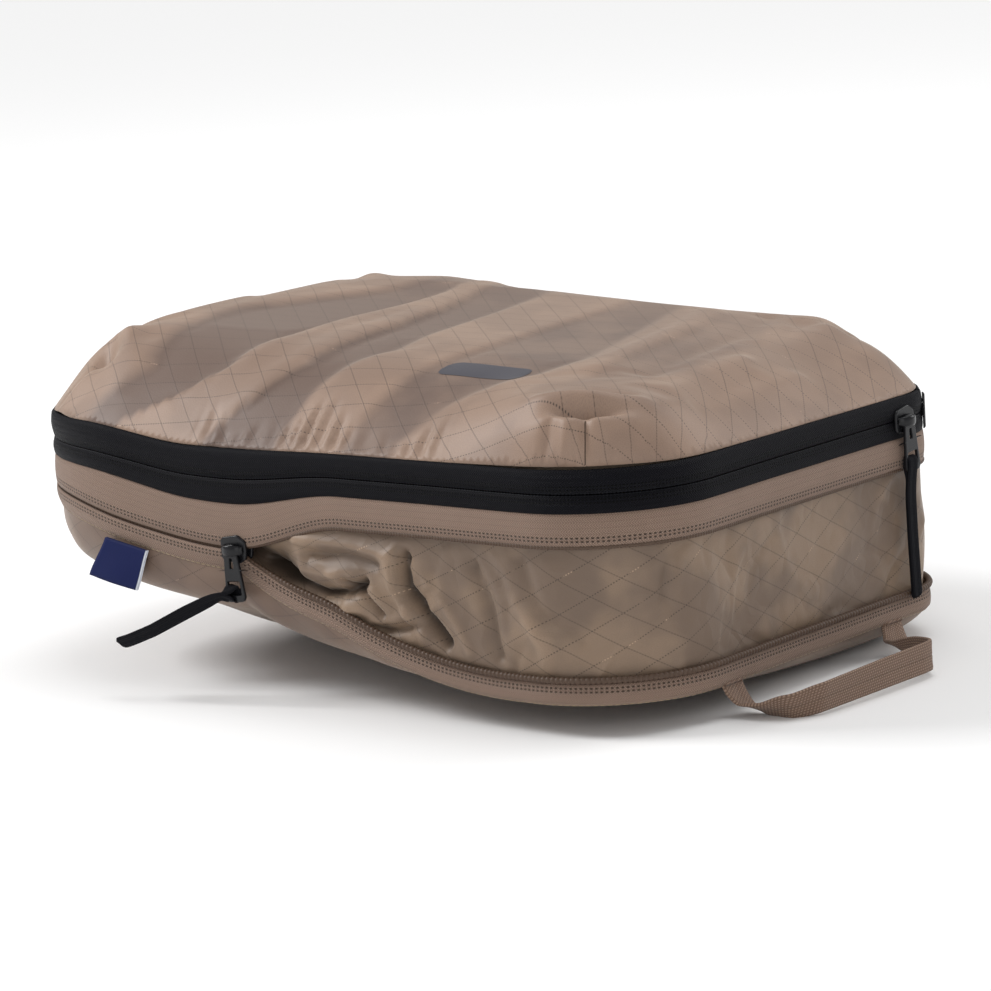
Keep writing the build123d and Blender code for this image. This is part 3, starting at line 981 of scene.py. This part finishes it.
def far_darts(x, y):
    """The height of the other corners' seams: a hollow above each with creases running off it."""
    total = 0 * x
    for side_x, side_y, reach, depth in FAR_DARTS:
        foot_x, foot_y, nx, ny = (float(v) for v in outline(s_corner(side_x, side_y)))
        along = -(x - foot_x) * nx - (y - foot_y) * ny
        across = -(x - foot_x) * ny + (y - foot_y) * nx
        near = np.hypot(along - reach, across)
        on_wall = smooth(along, 0, 4) * (1 - smooth(along, reach - 4, reach))
        groove = -0.3 * depth * bump_at(across, 2.4) * on_wall
        hollow = -depth * spot(along - reach, 5, across, 8)
        lip = 0.6 * depth * spot(along - reach - 10, 6, across, 16)
        creases = 1.1 * np.cos(4 * np.arctan2(across, along - reach) + 1) * bump_at(near - 20, 10)
        total = total + groove + hollow + lip + creases
    return total


def lid_panel():
    """The lid's cloth, draped over what fills the bag. Returns its surface, for what lies on it."""
    flat, faces, rim = filled_outline(CLOTH_STEP, 0.3, centre=DART, reach=DART_REACH)
    x, y = flat[:, 0], flat[:, 1]
    out, up = near_dart(x, y)
    z = roof(x, y) + folds(x, y) + far_darts(x, y) + np.where(rim, 0, up)
    moved = flat - DART_IN * np.where(rim, 0, out)[:, None]
    points = np.stack([moved[:, 0], moved[:, 1], z], -1)
    u, v = cloth_place(x, y)
    sine, cosine = math.sin(WEAVE_TURN), math.cos(WEAVE_TURN)
    weave = np.stack([u * cosine - v * sine, u * sine + v * cosine], -1)
    lid = new_mesh("lid_panel", points, faces, weave, MATERIALS["lid"])
    depth = inset(x, y)
    # The bands' sunk share goes to the shader, which paints the bands cooler, partly as their shade.
    vectors(lid.data, "fold", np.stack([bands(x, y)[0], depth, x], -1))
    slack = 1.008 + 0.02 * (1 - smooth(depth, 4, 40)) * (1 - smooth(np.abs(x + 5), 60, 120))
    middle = np.array([0, 0, 110])
    rest = middle + (points - middle) * slack[:, None]
    drape(lid, np.where(rim, 1.0, 0.0), rest, pressure=1.6, travel=3.5)
    subdivide(lid)
    gather_front(lid.data)
    corners = [tuple(polygon.vertices) for polygon in lid.data.polygons]
    surface = BVHTree.FromPolygons(coordinates(lid.data).tolist(), corners)
    seam = corner_seam(surface)
    thicken(lid, CLOTH_T)
    place(lid, "lid", "lid_panel")
    place(seam, "lid", "lid_panel")
    return surface


def gather_front(mesh):
    """Raises the gathers along the front of the finished lid, square to its cloth."""
    places = coordinates(mesh)
    facing = np.empty(places.size)
    mesh.vertices.foreach_get("normal", facing)
    _, depth, x = stored(mesh, "fold").T
    front = 1 - smooth(places[:, 1] / MM, -80, -60)
    height = front * gather_height(x, depth)
    move_points(mesh, places + facing.reshape(-1, 3) * height[:, None] * MM)


def corner_seam(surface):
    """The sunk stitch line that closes the near corner's cut, drawn as a fine dark cord."""
    inwards = np.array([*DART_IN, 0])
    side = np.array([DART_IN[1], -DART_IN[0], 0])
    path = []
    for height in np.linspace(float(lid_edge(DART[0])) + 0.5, DART_TOP, 26):
        start = Vector((*(DART - DART_IN * 40), height)) * MM
        hit = surface.ray_cast(start, Vector(inwards))
        if hit[0] is not None:
            path.append(np.array(hit[0]) / MM)
    angles = around(6)[:, None]
    ring = CORD_RADIUS * (side * np.cos(angles) - inwards * np.sin(angles))
    sections = np.array(path)[:, None] + ring
    return tube("lid_corner_seam", sections, np.zeros(sections.shape[:2] + (2,)), MATERIALS["thread"])


def on_surface(surface, x, y, lift_mm):
    """A point in mm on the lid above (x, y)."""
    hit = surface.ray_cast(Vector((x * MM, y * MM, 0.3)), Vector((0, 0, -1)))
    return np.array(hit[0]) / MM + np.array(hit[1]) * lift_mm


def lid_mark(surface):
    """One plain rounded patch, printed on the lid where the CAD patch stands."""
    low, high = (np.array(corner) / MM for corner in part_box("lid_mark"))
    middle, half, radius = (low + high) / 2, (high - low) / 2, 5.0
    columns, rows = np.linspace(-half[0], half[0], 45), np.linspace(-1, 1, 13)
    edge = np.maximum(np.abs(columns) - (half[0] - radius), 0)
    limit = half[1] - radius + np.sqrt(np.maximum(radius ** 2 - edge ** 2, 0.04))
    points = [on_surface(surface, middle[0] + u, middle[1] + share * top, 0.15)
              for share in rows for u, top in zip(columns, limit)]
    patch = new_mesh("lid_mark", points, grid_faces(len(rows), len(columns)), None, MATERIALS["mark"])
    place(patch, "lid", "lid_mark")


# The gusset

# Mesh rows, how far the cloth reaches behind each tape, and how many small creases it has
GUSSET_ROWS = 24
GUSSET_LAP = 4.5
CRUMPLES = 150

# Creases on the front of the gusset: height of the crease (mm out), half width, and its line as (x, z)
CREASES = (
    (-6.0, 7.0, ((-40, 66), (-24, 62), (-8, 56))),
    (-8.5, 2.6, ((-24, 60), (-8, 54.5), (10, 49.5), (26, 52), (35, 57))),
    (4.5, 2.4, ((-22, 54), (-4, 48.5), (14, 43.5), (32, 45))),
    (5.0, 2.6, ((0, 60), (14, 58.5), (26, 61), (37, 57), (47, 46))),
    (-5.0, 1.8, ((24, 56), (35, 51.5), (43, 43))),
    (-9.0, 3.0, ((57, 69), (57, 57), (67, 44), (77, 34))),
    (5.5, 2.4, ((50, 65), (51, 55), (59, 42), (65, 36))),
    (5.5, 2.8, ((-2, 73), (31, 72), (52, 69), (67, 62), (85, 42), (91, 32))),
    (-4.2, 3.0, ((4, 66.5), (24, 67.5), (42, 65))),
    (-4.5, 2.4, ((40, 36), (50, 37), (61, 40))),
    (3.0, 2.0, ((36, 40), (48, 42), (56, 45))),
    (-4.0, 3.4, ((94, 68), (102, 50), (106, 32))),
    (3.0, 3.4, ((110, 70), (119, 52), (134, 36))),
    (-2.4, 3.0, ((118, 72), (128, 54), (144, 40))),
)


def distance_to_line(x, y, line):
    """How far each point is from a line of straight pieces."""
    nearest = np.full(np.shape(x), 1e9)
    for (ax, ay), (bx, by) in zip(line[:-1], line[1:]):
        dx, dy = bx - ax, by - ay
        t = np.clip(((x - ax) * dx + (y - ay) * dy) / (dx * dx + dy * dy), 0, 1)
        nearest = np.minimum(nearest, np.hypot(x - ax - t * dx, y - ay - t * dy))
    return nearest


def crease_height(x, z):
    """How far out the front of the gusset stands at (x, z): hollows are round, ridges come to a soft edge."""
    total = 0 * x
    for height, half, line in CREASES:
        nearest = distance_to_line(x, z, line)
        if height < 0:
            total = total + 0.8 * height * bump_at(nearest, half)
        else:
            total = total + 0.5 * height * np.exp(-np.sqrt(nearest ** 2 + 0.3) / half)
    return total


def crumple_lines():
    """Short random creases all round the gusset: (s, z, direction, length, height, width)."""
    dice = np.random.default_rng(5)
    lines = []
    for _ in range(CRUMPLES):
        s, z = dice.uniform(0, ROUND), dice.uniform(26, 76)
        turn = dice.choice([0.9, -0.9, 1.4]) + dice.normal(0, 0.35)
        lines.append((s, z, turn, dice.uniform(9, 26), dice.choice([-1, 1]) * dice.uniform(0.5, 1.5),
                      dice.uniform(1.8, 3.6)))
    return lines


def crumple(s, z):
    """The height of the gusset's small random creases at (s, z)."""
    total = 0 * s
    for s0, z0, turn, length, height, width in crumple_lines():
        du, dz = s - s0, z - z0
        along = du * math.cos(turn) + dz * math.sin(turn)
        across = -du * math.sin(turn) + dz * math.cos(turn) + 0.02 * along ** 2
        side = np.where(across > 0, width * 1.8, width * 0.7)
        total = total + height * np.exp(-np.abs(across / side) ** 1.5 - (along / length) ** 4)
    return total * (1 - closed_share(s))


def side_creases(s, z):
    """Soft shallow folds along the ends and back, where the gusset is nearly smooth."""
    slant = s + 0.7 * z
    crossing = s - 1.1 * z
    return 0.8 * np.sin(slant / 17 + 1.5 * np.sin(s / 41)) + 0.5 * np.sin(crossing / 9.5 + 2 * np.sin(s / 29))


def gathered(s):
    """How much spare cloth the gusset holds: most just beyond the slider."""
    x = outline_x(s)
    return smooth(x, -70, -30) * (1 - smooth(x, 40, 130))


def gusset():
    """The spare cloth between the zip's two tapes, draped and creased."""
    s = s_steps(3.0)
    x = outline_x(s)
    closed = closed_share(s)[:, None]
    t = np.linspace(0, 1, GUSSET_ROWS)[None]
    low = (base_line(x) - GUSSET_LAP)[:, None]
    high = (frame_line(x) + GUSSET_LAP)[:, None]
    z = low + (high - low) * t
    along = s[:, None] + 0 * z
    arch = np.sin(math.pi * t)
    edge = np.minimum(1, 3 * arch)
    front = (1 - smooth(outline(s)[1], -HALF_W, -HALF_W + 40))[:, None]
    bulge = -2.4 + (-5.5 * closed + 2.2 * (1 - closed)) * arch
    bulge = bulge + side_creases(along, z) * (1 - closed) * edge
    points = wall(along, bulge, z)
    weave = np.stack([along, (t - 0.5) * (GAP + 2 * GUSSET_LAP) + 0 * z], -1)
    cloth = new_mesh("expansion_gusset", points, grid_faces(len(s), GUSSET_ROWS), weave, MATERIALS["gusset"])
    vectors(cloth.data, "front", np.stack([front + 0 * z, edge + 0 * z, along], -1))
    pins = np.zeros(z.shape)
    pins[:, [0, -1]] = 1.0
    pins[[0, -1], :] = 1.0
    slack = 1.02 + 0.12 * gathered(s)[:, None] * front
    rest = wall(along, bulge, low + (high - low) * t * slack) * np.array([1.014, 1.014, 1.0])
    drape(cloth, pins.ravel(), rest.reshape(-1, 3), pressure=1.0, travel=3.0)
    subdivide(cloth)
    crease_front(cloth.data)
    thicken(cloth, CLOTH_T)
    place(cloth, "base", "expansion_gusset")
    squash_down(cloth)


def crease_front(mesh):
    """Presses the creases into the cloth: the large ones square to the front, the small ones outwards."""
    places = coordinates(mesh)
    front, edge, s = stored(mesh, "front").T
    height = front * edge * crease_height(places[:, 0] / MM, places[:, 2] / MM)
    away = edge * crumple(s, places[:, 2] / MM)
    places[:, 1] -= height * MM
    nx, ny = outline(s)[2:]
    places += np.stack([nx * away, ny * away, 0 * away], -1) * MM
    # The crease height is kept so that the shader can paint shade in the hollows and a highlight on the
    # crests.
    vectors(mesh, "crease", np.stack([height + away, 0 * away, 0 * away], -1))
    move_points(mesh, places)


# The bottom panel

# How much of its edge's lift the underside follows, how far it rises at its rim and over what width, how far
# it rises towards the front, how far inside the outline the floor ends, and mesh rows up the side
BOTTOM_SHARE = 0.8
EDGE_RISE = 9.0
EDGE_WIDTH = 40.0
FRONT_RISE = 11.5
FLOOR_INSET = 16.0
SIDE_ROWS = 14


def belly(x, y):
    """Height of the bottom panel's underside: it rests on its middle, and the zipped end is drawn up."""
    drawn = 1 - (1 - smooth(np.abs(y), 0, HALF_W)) * smooth(x, -HALF_L, -90)
    front = smooth(y, 60, -115) * (1 - smooth(lift(x), 0, 30))
    edge = np.clip(1 - inset(x, y) / EDGE_WIDTH, 0, 1.5)
    return BOTTOM_SHARE * lift(x) * drawn + FRONT_RISE * front ** 1.2 + EDGE_RISE * (1 - front) * edge ** 2


def bottom_side():
    """The tray's side wall: it follows the tape, turns under at a soft knee and ends at the floor."""
    s = s_steps(3.0)
    x, y, nx, ny = outline(s)
    closed = closed_share(s)
    top = wall(s, -0.4, base_line(x) - TAPE_DROP + 3)
    knee = wall(s, -1.0 + 5.5 * closed, belly(x, y) + 1.0 - 3 * closed)
    foot_x, foot_y = x - nx * FLOOR_INSET, y - ny * FLOOR_INSET
    foot = np.stack([foot_x, foot_y, belly(foot_x, foot_y)], -1)
    t = np.linspace(0, 1, SIDE_ROWS)[None, :, None]
    points = (1 - t) ** 2 * top[:, None] + 2 * t * (1 - t) * knee[:, None] + t ** 2 * foot[:, None]
    drop = np.linalg.norm(np.diff(points, axis=1), axis=2)
    across = np.concatenate([np.zeros((len(s), 1)), np.cumsum(drop, 1)], 1)
    weave = np.stack([s[:, None] + 0 * across, -across], -1)
    ripple = 0.5 * np.sin(s / 7.3 + 2 * np.sin(s / 31))[:, None] * np.sin(math.pi * t[..., 0])
    outwards = np.stack([nx, ny, 0 * nx], -1)[:, None]
    points = points + outwards * ripple[..., None]
    side = new_mesh("bottom_panel_side", points, grid_faces(len(s), SIDE_ROWS), weave, MATERIALS["bottom"])
    subdivide(side)
    thicken(side, CLOTH_T, offset=1.0)
    place_on_base_edge(side, "bottom_panel")


def bottom_floor():
    """The tray's floor."""
    flat, faces, _ = filled_outline(7.0, FLOOR_INSET)
    x, y = flat[:, 0], flat[:, 1]
    height = belly(x, y)
    ripple = 0.5 * np.sin(x / 17 + np.sin(y / 21)) * smooth(inset(x, y), 20, 40) * smooth(height, 0, 6)
    points = np.stack([x, y, height + ripple], -1)
    under = new_mesh("bottom_panel_floor", points, faces, flat, MATERIALS["bottom"])
    subdivide(under)
    place(under, "base", "bottom_panel")
    squash_down(under)


# Sliders, tabs and straps

def upright_plate(name, outlines, depth, bevel, y=0.0):
    """A metal plate with rounded edges from closed outlines, first the rim, then the holes. They are drawn in
    x and y and turned so that the outlines' y runs up, and the plate faces along -Y."""
    data = bpy.data.curves.new(name, "CURVE")
    data.dimensions = "2D"
    data.fill_mode = "BOTH"
    data.extrude = (depth / 2 - bevel) * MM
    data.bevel_depth = bevel * MM
    data.bevel_resolution = 3
    for loop in outlines:
        spline = data.splines.new("POLY")
        spline.points.add(len(loop) - 1)
        for point, (px, py) in zip(spline.points, loop):
            point.co = (px * MM, py * MM, 0, 1)
        spline.use_cyclic_u = True
    curve = link(name, data)
    deps = bpy.context.evaluated_depsgraph_get()
    mesh = bpy.data.meshes.new_from_object(curve.evaluated_get(deps), depsgraph=deps)
    bpy.data.objects.remove(curve)
    mesh.materials.clear()
    mesh.materials.append(MATERIALS["metal"])
    mesh.shade_smooth()
    mesh.set_sharp_from_angle(angle=math.radians(40))
    mesh.transform(Matrix.Rotation(math.pi / 2, 4, "X"))
    mesh.transform(Matrix.Translation(Vector((0, y, 0)) * MM))
    return link(name, mesh)


def rounded_loop(corners, radius, clockwise=False):
    """A polygon with rounded corners; radius is one for all of them or a list with one for each."""
    count = len(corners)
    radii = radius if isinstance(radius, list) else [radius] * count
    loop = []
    for i, size in enumerate(radii):
        before, here, after = (np.array(corners[(i + k) % count], float) for k in (-1, 0, 1))
        to_before, to_after = before - here, after - here
        to_before /= np.linalg.norm(to_before)
        to_after /= np.linalg.norm(to_after)
        half = math.acos(np.clip(to_before @ to_after, -1, 1)) / 2
        reach = size / math.tan(half)
        start, end = here + to_before * reach, here + to_after * reach
        for t in np.linspace(0, 1, 7):
            loop.append(tuple((1 - t) ** 2 * start + 2 * t * (1 - t) * here + t ** 2 * end))
    return loop[::-1] if clockwise else loop


def hardware_frame(pivot, turn):
    """Where a slider's piece goes. It is built with +X as the closing way, -Y as out and the pivot at 0."""
    return Matrix.Translation(pivot * MM) @ Matrix.Rotation(turn, 4, "Z")


# How far the tab's pin stands out from the wall, and the tab's length and lean
PIN_OUT = 4.65
TAB_L = 22.0
TAB_LEAN = math.radians(5.0)


def slider_parts(prefix, pivot, turn, body):
    """Slider body with its two plates, its flanges and its post, and the domed crown over the tab's pivot."""
    outer = [(-6.4, -4.2), (2.6, -5.8), (6.4, -3.6), (6.9, 0), (6.4, 3.6), (2.6, 5.8), (-6.4, 4.2)]
    plan = rounded_loop(outer, [1.8, 2.6, 1.6, 1.6, 1.6, 2.6, 1.8])
    parts = [upright_plate(prefix, [plan], 1.6, 0.6, y + PIN_OUT) for y in (-2.25, 1.8)]
    for side in (-1, 1):
        lip = [(-5.6, side * 3.1), (2.8, side * 4.75), (2.6, side * 5.45), (-5.8, side * 3.8)]
        parts.append(upright_plate(prefix, [rounded_loop(lip, 0.3)], 1.6, 0.3, PIN_OUT - 1.4))
    post = rounded_loop([(1.6, -0.45), (5.6, -0.45), (5.6, 0.45), (1.6, 0.45)], 0.3)
    parts.append(upright_plate(prefix, [post], 4.0, 0.2, PIN_OUT - 0.2))
    whole = join(parts)
    whole.name = prefix + "_slider_body"
    crown = crown_mesh(prefix + "_slider_crown")
    for piece, node in ((whole, prefix + "_slider_body"), (crown, prefix + "_slider_crown")):
        piece.matrix_world = hardware_frame(pivot, turn)
        place(piece, body, node)


def squared(value):
    """Pulls a circle's sine or cosine towards a square's, for a loop between the two."""
    return np.sign(value) * np.abs(value) ** 0.75


def crown_mesh(name):
    """A bridge from the slider's tail to its nose, thickest in the middle, where it covers the tab's pin."""
    tail, nose = -5.6, 5.8
    x = np.linspace(tail, nose, 26)[:, None]
    arch = np.sin(np.clip((x - tail) / (nose - tail), 0, 1) * math.pi) ** 0.5
    angles = around(14)[None]
    y = PIN_OUT - 2.6 - 3.7 * arch - (0.85 + 0.1 * arch) * squared(np.cos(angles))
    z = (1.5 + 0.9 * arch) * squared(np.sin(angles))
    sections = np.stack([x + 0 * y, y, z], -1)
    return tube(name, sections, np.zeros(sections.shape[:2] + (2,)), MATERIALS["metal"])


def pull_tab(prefix, pivot, turn, body):
    """Tab: narrow round the pin, a drop-shaped hole under it, and a slot for the strap."""
    end, slot_low, slot_high = -TAB_L - 0.4, -TAB_L + 2.0, -TAB_L + 8.6
    rim = rounded_loop([(-3.0, 2.0), (-3.6, -4), (-5.3, end), (5.3, end), (3.6, -4), (3.0, 2.0)],
                       [1.8, 4, 2.4, 2.4, 4, 1.8])
    drop = rounded_loop([(-1.0, -3.2), (-1.7, -8.6), (1.7, -8.6), (1.0, -3.2)], [0.8, 1.6, 1.6, 0.8], True)
    slot = rounded_loop([(-3.9, slot_high), (-4.0, slot_low), (4.0, slot_low), (3.9, slot_high)], 1.2, True)
    tab = upright_plate(prefix + "_pull_tab", [rim, drop, slot], 1.5, 0.4)
    tab.data.transform(Matrix.Rotation(-TAB_LEAN, 4, "Y"))
    tab.matrix_world = hardware_frame(pivot, turn)
    place(tab, body, prefix + "_pull_tab")


def strap_section(width, thick):
    """A strap's cross-section as (across, out): raised edges and a sunk middle line, on both faces."""
    half, ease = width / 2, thick * 0.45
    top = [(-half, 0), (-half + 0.25, ease), (-half + 1.0, thick / 2 + 0.12), (-half * 0.5, thick / 2),
           (-0.5, thick / 2), (0, thick / 2 - 0.18), (0.5, thick / 2), (half * 0.5, thick / 2),
           (half - 1.0, thick / 2 + 0.12), (half - 0.25, ease), (half, 0)]
    return np.array(top + [(across, -out) for across, out in top[-2:0:-1]])


def softened(rows):
    """Points along a strap with their bends rounded off; the ends stay."""
    for _ in range(10):
        rows[1:-1] = (rows[:-2] + 2 * rows[1:-1] + rows[2:]) / 4
    return rows


def strap_along(name, path, width, thick, twist, material, rounded=False):
    """A flat strap along a path; twist is its width's direction at each point. Rounded rounds its far end."""
    path, twist = np.array(path, float), np.array(twist, float)
    along = np.concatenate([[0], np.cumsum(np.linalg.norm(np.diff(path, axis=0), axis=1))])
    fine = np.linspace(0, along[-1], int(along[-1] / 0.8) + 2)
    middle, across = (softened(np.stack([np.interp(fine, along, rows[:, i]) for i in range(3)], -1))
                      for rows in (path, twist))
    tangent = np.gradient(middle, axis=0)
    tangent /= np.linalg.norm(tangent, axis=1)[:, None]
    across -= tangent * np.sum(across * tangent, 1)[:, None]
    across /= np.linalg.norm(across, axis=1)[:, None]
    normal = np.cross(tangent, across)
    loop = strap_section(width, thick)
    left = np.clip((fine[-1] - fine) / (0.3 * width), 0, 1) if rounded else np.ones(len(fine))
    share = (0.62 + 0.38 * np.sqrt(1 - (1 - left) ** 2))[:, None, None]
    wide, deep = loop[None, :, :1], loop[None, :, 1:]
    sections = middle[:, None] + across[:, None] * wide * share + normal[:, None] * deep
    weave = np.stack(np.broadcast_arrays(fine[:, None], loop[None, :, 0]), -1)
    return tube(name, sections, weave, material)


def looped_strap(prefix, pivot, turn, body, tail, twist):
    """A strap through the tab's slot: both layers run off together along tail, given from the pivot in mm."""
    bar = -TAB_L + 0.8
    to_tail = np.array(tail[0]) - (0, 0, bar)
    front = [(0.4, 1.0, bar + 5.2), (0.2, -0.6, bar + 5.6), (0.3 * to_tail[0], -1.9, bar + 4.0)]
    back = [(0.4, 1.3, bar + 4.4), (0.2, 1.6, bar + 1.0), (0.1 * to_tail[0], 0.9, bar - 1.8)]
    twist = [(1, 0, 0)] * 3 + twist
    upper = strap_along(prefix, front + tail, 6.8, 1.2, twist, MATERIALS["strap"], rounded=True)
    under = [tuple(np.array(point) + (0, 0.7, -0.7)) for point in tail]
    lower = strap_along(prefix, back + under, 6.7, 0.9, twist, MATERIALS["strap"], rounded=True)
    whole = join([upper, lower])
    whole.name = prefix + "_puller_strap"
    whole.matrix_world = hardware_frame(pivot, turn)
    place(whole, body, prefix + "_puller_strap")
    bpy.context.view_layer.update()
    return whole


def all_hardware():
    """Both sliders with their tabs and straps: one strap lies out over the floor, the other hangs."""
    for prefix, pivot, turn in (("compression", SLIDER, 0.0), ("main", MAIN_SLIDER, math.pi / 2)):
        slider_parts(prefix, pivot, turn, prefix + "_slider")
        pull_tab(prefix, pivot, turn, prefix + "_pull")
    loose = [(-4, -4.2, -19), (-11, -7, -22.5), (-20, -10.5, -27), (-35, -16, -35), (-46, -18.6, -39.5),
             (-52, -19.3, -41.4)]
    leaning = [(0.75, -0.35, 0.55), (0.45, -0.45, 0.75), (0.3, -0.5, 0.8), (0.25, -0.6, 0.75),
               (0.25, -0.62, 0.73), (0.25, -0.62, 0.73)]
    strap = looped_strap("compression", SLIDER, 0.0, "compression_puller", loose, leaning)
    squash_down(strap)
    hang = [(0, -0.6, -24), (0, 0.2, -32), (0.2, 0.2, -50), (0.8, -0.2, -78)]
    strap = looped_strap("main", MAIN_SLIDER, math.pi / 2, "main_puller", hang, [(1, 0, 0)] * 4)
    squash_down(strap)


# Handle and label

def handle():
    """A webbing loop that lies out from the +X end, and the two ends that are sewn down beside it."""
    low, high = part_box("carry_handle")
    y0, y1 = low.y / MM + 1.1, high.y / MM - 1.1
    path = [(-1, y0 + 1, 17), (1.5, y0 + 2, 10), (6, y0 + 3, 4.5), (15, y0 + 3, 3.2), (27, y0 + 5, 5.0),
            (35, y0 + 16, 7.6), (38.5, y0 + 56, 9), (40, y0 + 85, 9.4), (39.5, y0 + 92, 9.4),
            (36, y0 + 95.5, 9.2), (28, y0 + 100, 8.4), (16, y0 + 106, 6), (7, y1 - 9, 6), (1.5, y1 - 3, 11),
            (-1, y1 - 2, 17)]
    path = [(HALF_L + out, y, z) for out, y, z in path]
    twist = [(0, 1, 0), (0, 1, -0.05), (-0.1, 0.95, -0.2), (-0.3, 0.8, -0.5), (-0.3, 0.3, -0.9),
             (-0.2, 0.05, -1), (-0.05, 0, -1), (0, 0, -1), (0, 0, -1), (0, 0.05, -1), (0.15, 0.2, -0.95),
             (0.35, 0.5, -0.6), (0.25, 0.9, -0.25), (0, 1, -0.05), (0, 1, 0)]
    strap = strap_along("carry_handle", path, 13.4, 1.5, twist, MATERIALS["webbing"])
    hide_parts("carry_handle")
    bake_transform(strap)
    anchors = []
    for y in (y0 + 1, y1 - 2):
        tail = [(HALF_L - 4, y, 20), (HALF_L - 1.6, y, 16), (HALF_L + 1.5, y, 13.4)]
        anchors.append(strap_along("handle_anchors", tail, 12.2, 1.9, [(0, 1, 0)] * 3, MATERIALS["webbing"]))
    place(join(anchors), "base", "handle_anchors")


# The folded label's half width and its length
LABEL_HALF = 13.6
LABEL_LENGTH = 19


def side_label():
    """A folded tag, a little bowed, hanging from the seam under the lower tape."""
    hinge = np.array(JOINTS["label_flap"]["pos_m"]) / MM
    way = -np.array(JOINTS["label_flap"]["axis"])
    down = np.array([way[2], 0, -way[0]])
    columns, rows = 19, 14
    v, u = np.meshgrid(np.linspace(0, LABEL_LENGTH, rows), np.linspace(-LABEL_HALF, LABEL_HALF, columns),
                       indexing="ij")
    out = 0.7 + 1.5 * smooth(v, 0, LABEL_LENGTH) + 0.5 * np.cos(u / 5.5) * smooth(v, 2, 16)
    leaned = u - 0.30 * v - 0.9 * np.cos(v * math.pi / LABEL_LENGTH) * (u / LABEL_HALF)
    front = hinge + way * leaned[..., None] + down * v[..., None] + np.array([0, -1, 0]) * out[..., None]
    back = front + np.array([0, 0.9, 0])
    flat = np.stack([u, v], -1)
    tag = new_mesh("side_label", np.concatenate([front, back[::-1]]), grid_faces(2 * rows, columns),
                   np.concatenate([flat, flat[::-1]]), MATERIALS["label"])
    thicken(tag, 0.35, offset=0.0)
    place(tag, "label", "side_label")


# Stage, lamps and camera

def brighten_background(tree):
    """The world behind the floor is pale to the camera but gives only a little light."""
    ray = tree.nodes.new("ShaderNodeLightPath")
    strength = tree.nodes.new("ShaderNodeMath")
    strength.operation = "MULTIPLY_ADD"
    strength.inputs[1].default_value = 0.5
    strength.inputs[2].default_value = 0.42
    tree.links.new(ray.outputs["Is Camera Ray"], strength.inputs[0])
    tree.links.new(strength.outputs[0], tree.nodes["Background"].inputs[1])


def floor_paper():
    """White paper that brightens away from the bag, so that it meets the background without a line."""
    paper = Shader("floor_paper", roughness=0.9, specular=0.1)
    paper.set("Base Color", colour(0.95, 0.95, 0.95))
    length = paper.node("VectorMath", (paper.node("TexCoord").outputs["Object"],), operation="LENGTH")
    paper.set("Emission Color", colour(1.0, 1.0, 1.0))
    paper.set("Emission Strength", paper.times(paper.band(length.outputs["Value"], 0.5, 2.2), 0.5))
    return paper.material


# Lamps: place and size in metres, and power in watts
LAMPS = {
    "key": ((-1.3, -0.7, 1.25), 0.7, 24),
    "top": ((0.3, 0.3, 1.9), 1.3, 13),
    "back": ((0.9, 1.5, 0.9), 0.9, 9),
    "fill": ((1.3, -1.3, 0.5), 1.2, 6),
}


def stage():
    """The floor, the world behind it and the lamps."""
    half = 14.0
    corners = [(-half, -half, 0), (half, -half, 0), (half, half, 0), (-half, half, 0)]
    mesh = bpy.data.meshes.new("floor")
    mesh.from_pydata(corners, [], [(0, 1, 2, 3)])
    mesh.materials.append(floor_paper())
    link("floor", mesh)
    world = bpy.data.worlds.new("studio")
    world.use_nodes = True
    world.node_tree.nodes["Background"].inputs[0].default_value = colour(1.0, 1.0, 1.0)
    brighten_background(world.node_tree)
    bpy.context.scene.world = world
    for name, (where, size, power) in LAMPS.items():
        data = bpy.data.lights.new(name, "AREA")
        data.size = size
        data.energy = power
        lamp = link(name, data)
        lamp.location = where
        lamp.rotation_euler = (Vector((0, 0, 0.07)) - Vector(where)).to_track_quat("-Z", "Y").to_euler()


def camera():
    """The photo's camera: where it stands round the bag, its roll, and its lens."""
    azimuth, elevation, roll, distance = math.radians(39.37), math.radians(10.74), math.radians(3.75), 1.8
    level = math.cos(elevation)
    back = Vector((math.sin(azimuth) * level, -math.cos(azimuth) * level, math.sin(elevation)))
    data = bpy.data.cameras.new("camera")
    data.sensor_width = 36
    data.lens = 145.2
    data.clip_end = 20
    data.shift_x = 0.0073
    data.shift_y = 0.018
    view = link("camera", data)
    view.location = Vector((0, 0, 0.06)) + back * distance
    turn = back.to_track_quat("Z", "Y").to_matrix().to_4x4()
    view.rotation_euler = (turn @ Matrix.Rotation(-roll, 4, "Z")).to_euler()
    bpy.context.scene.camera = view
    bpy.context.scene.view_settings.view_transform = "Standard"


def build():
    """Every piece of the bag, then the stage round it."""
    compression_zip()
    main_zip()
    rear_hinge()
    zip_ends()
    bindings()
    surface = lid_panel()
    lid_mark(surface)
    gusset()
    bottom_side()
    bottom_floor()
    all_hardware()
    handle()
    side_label()
    stage()
    camera()


build()
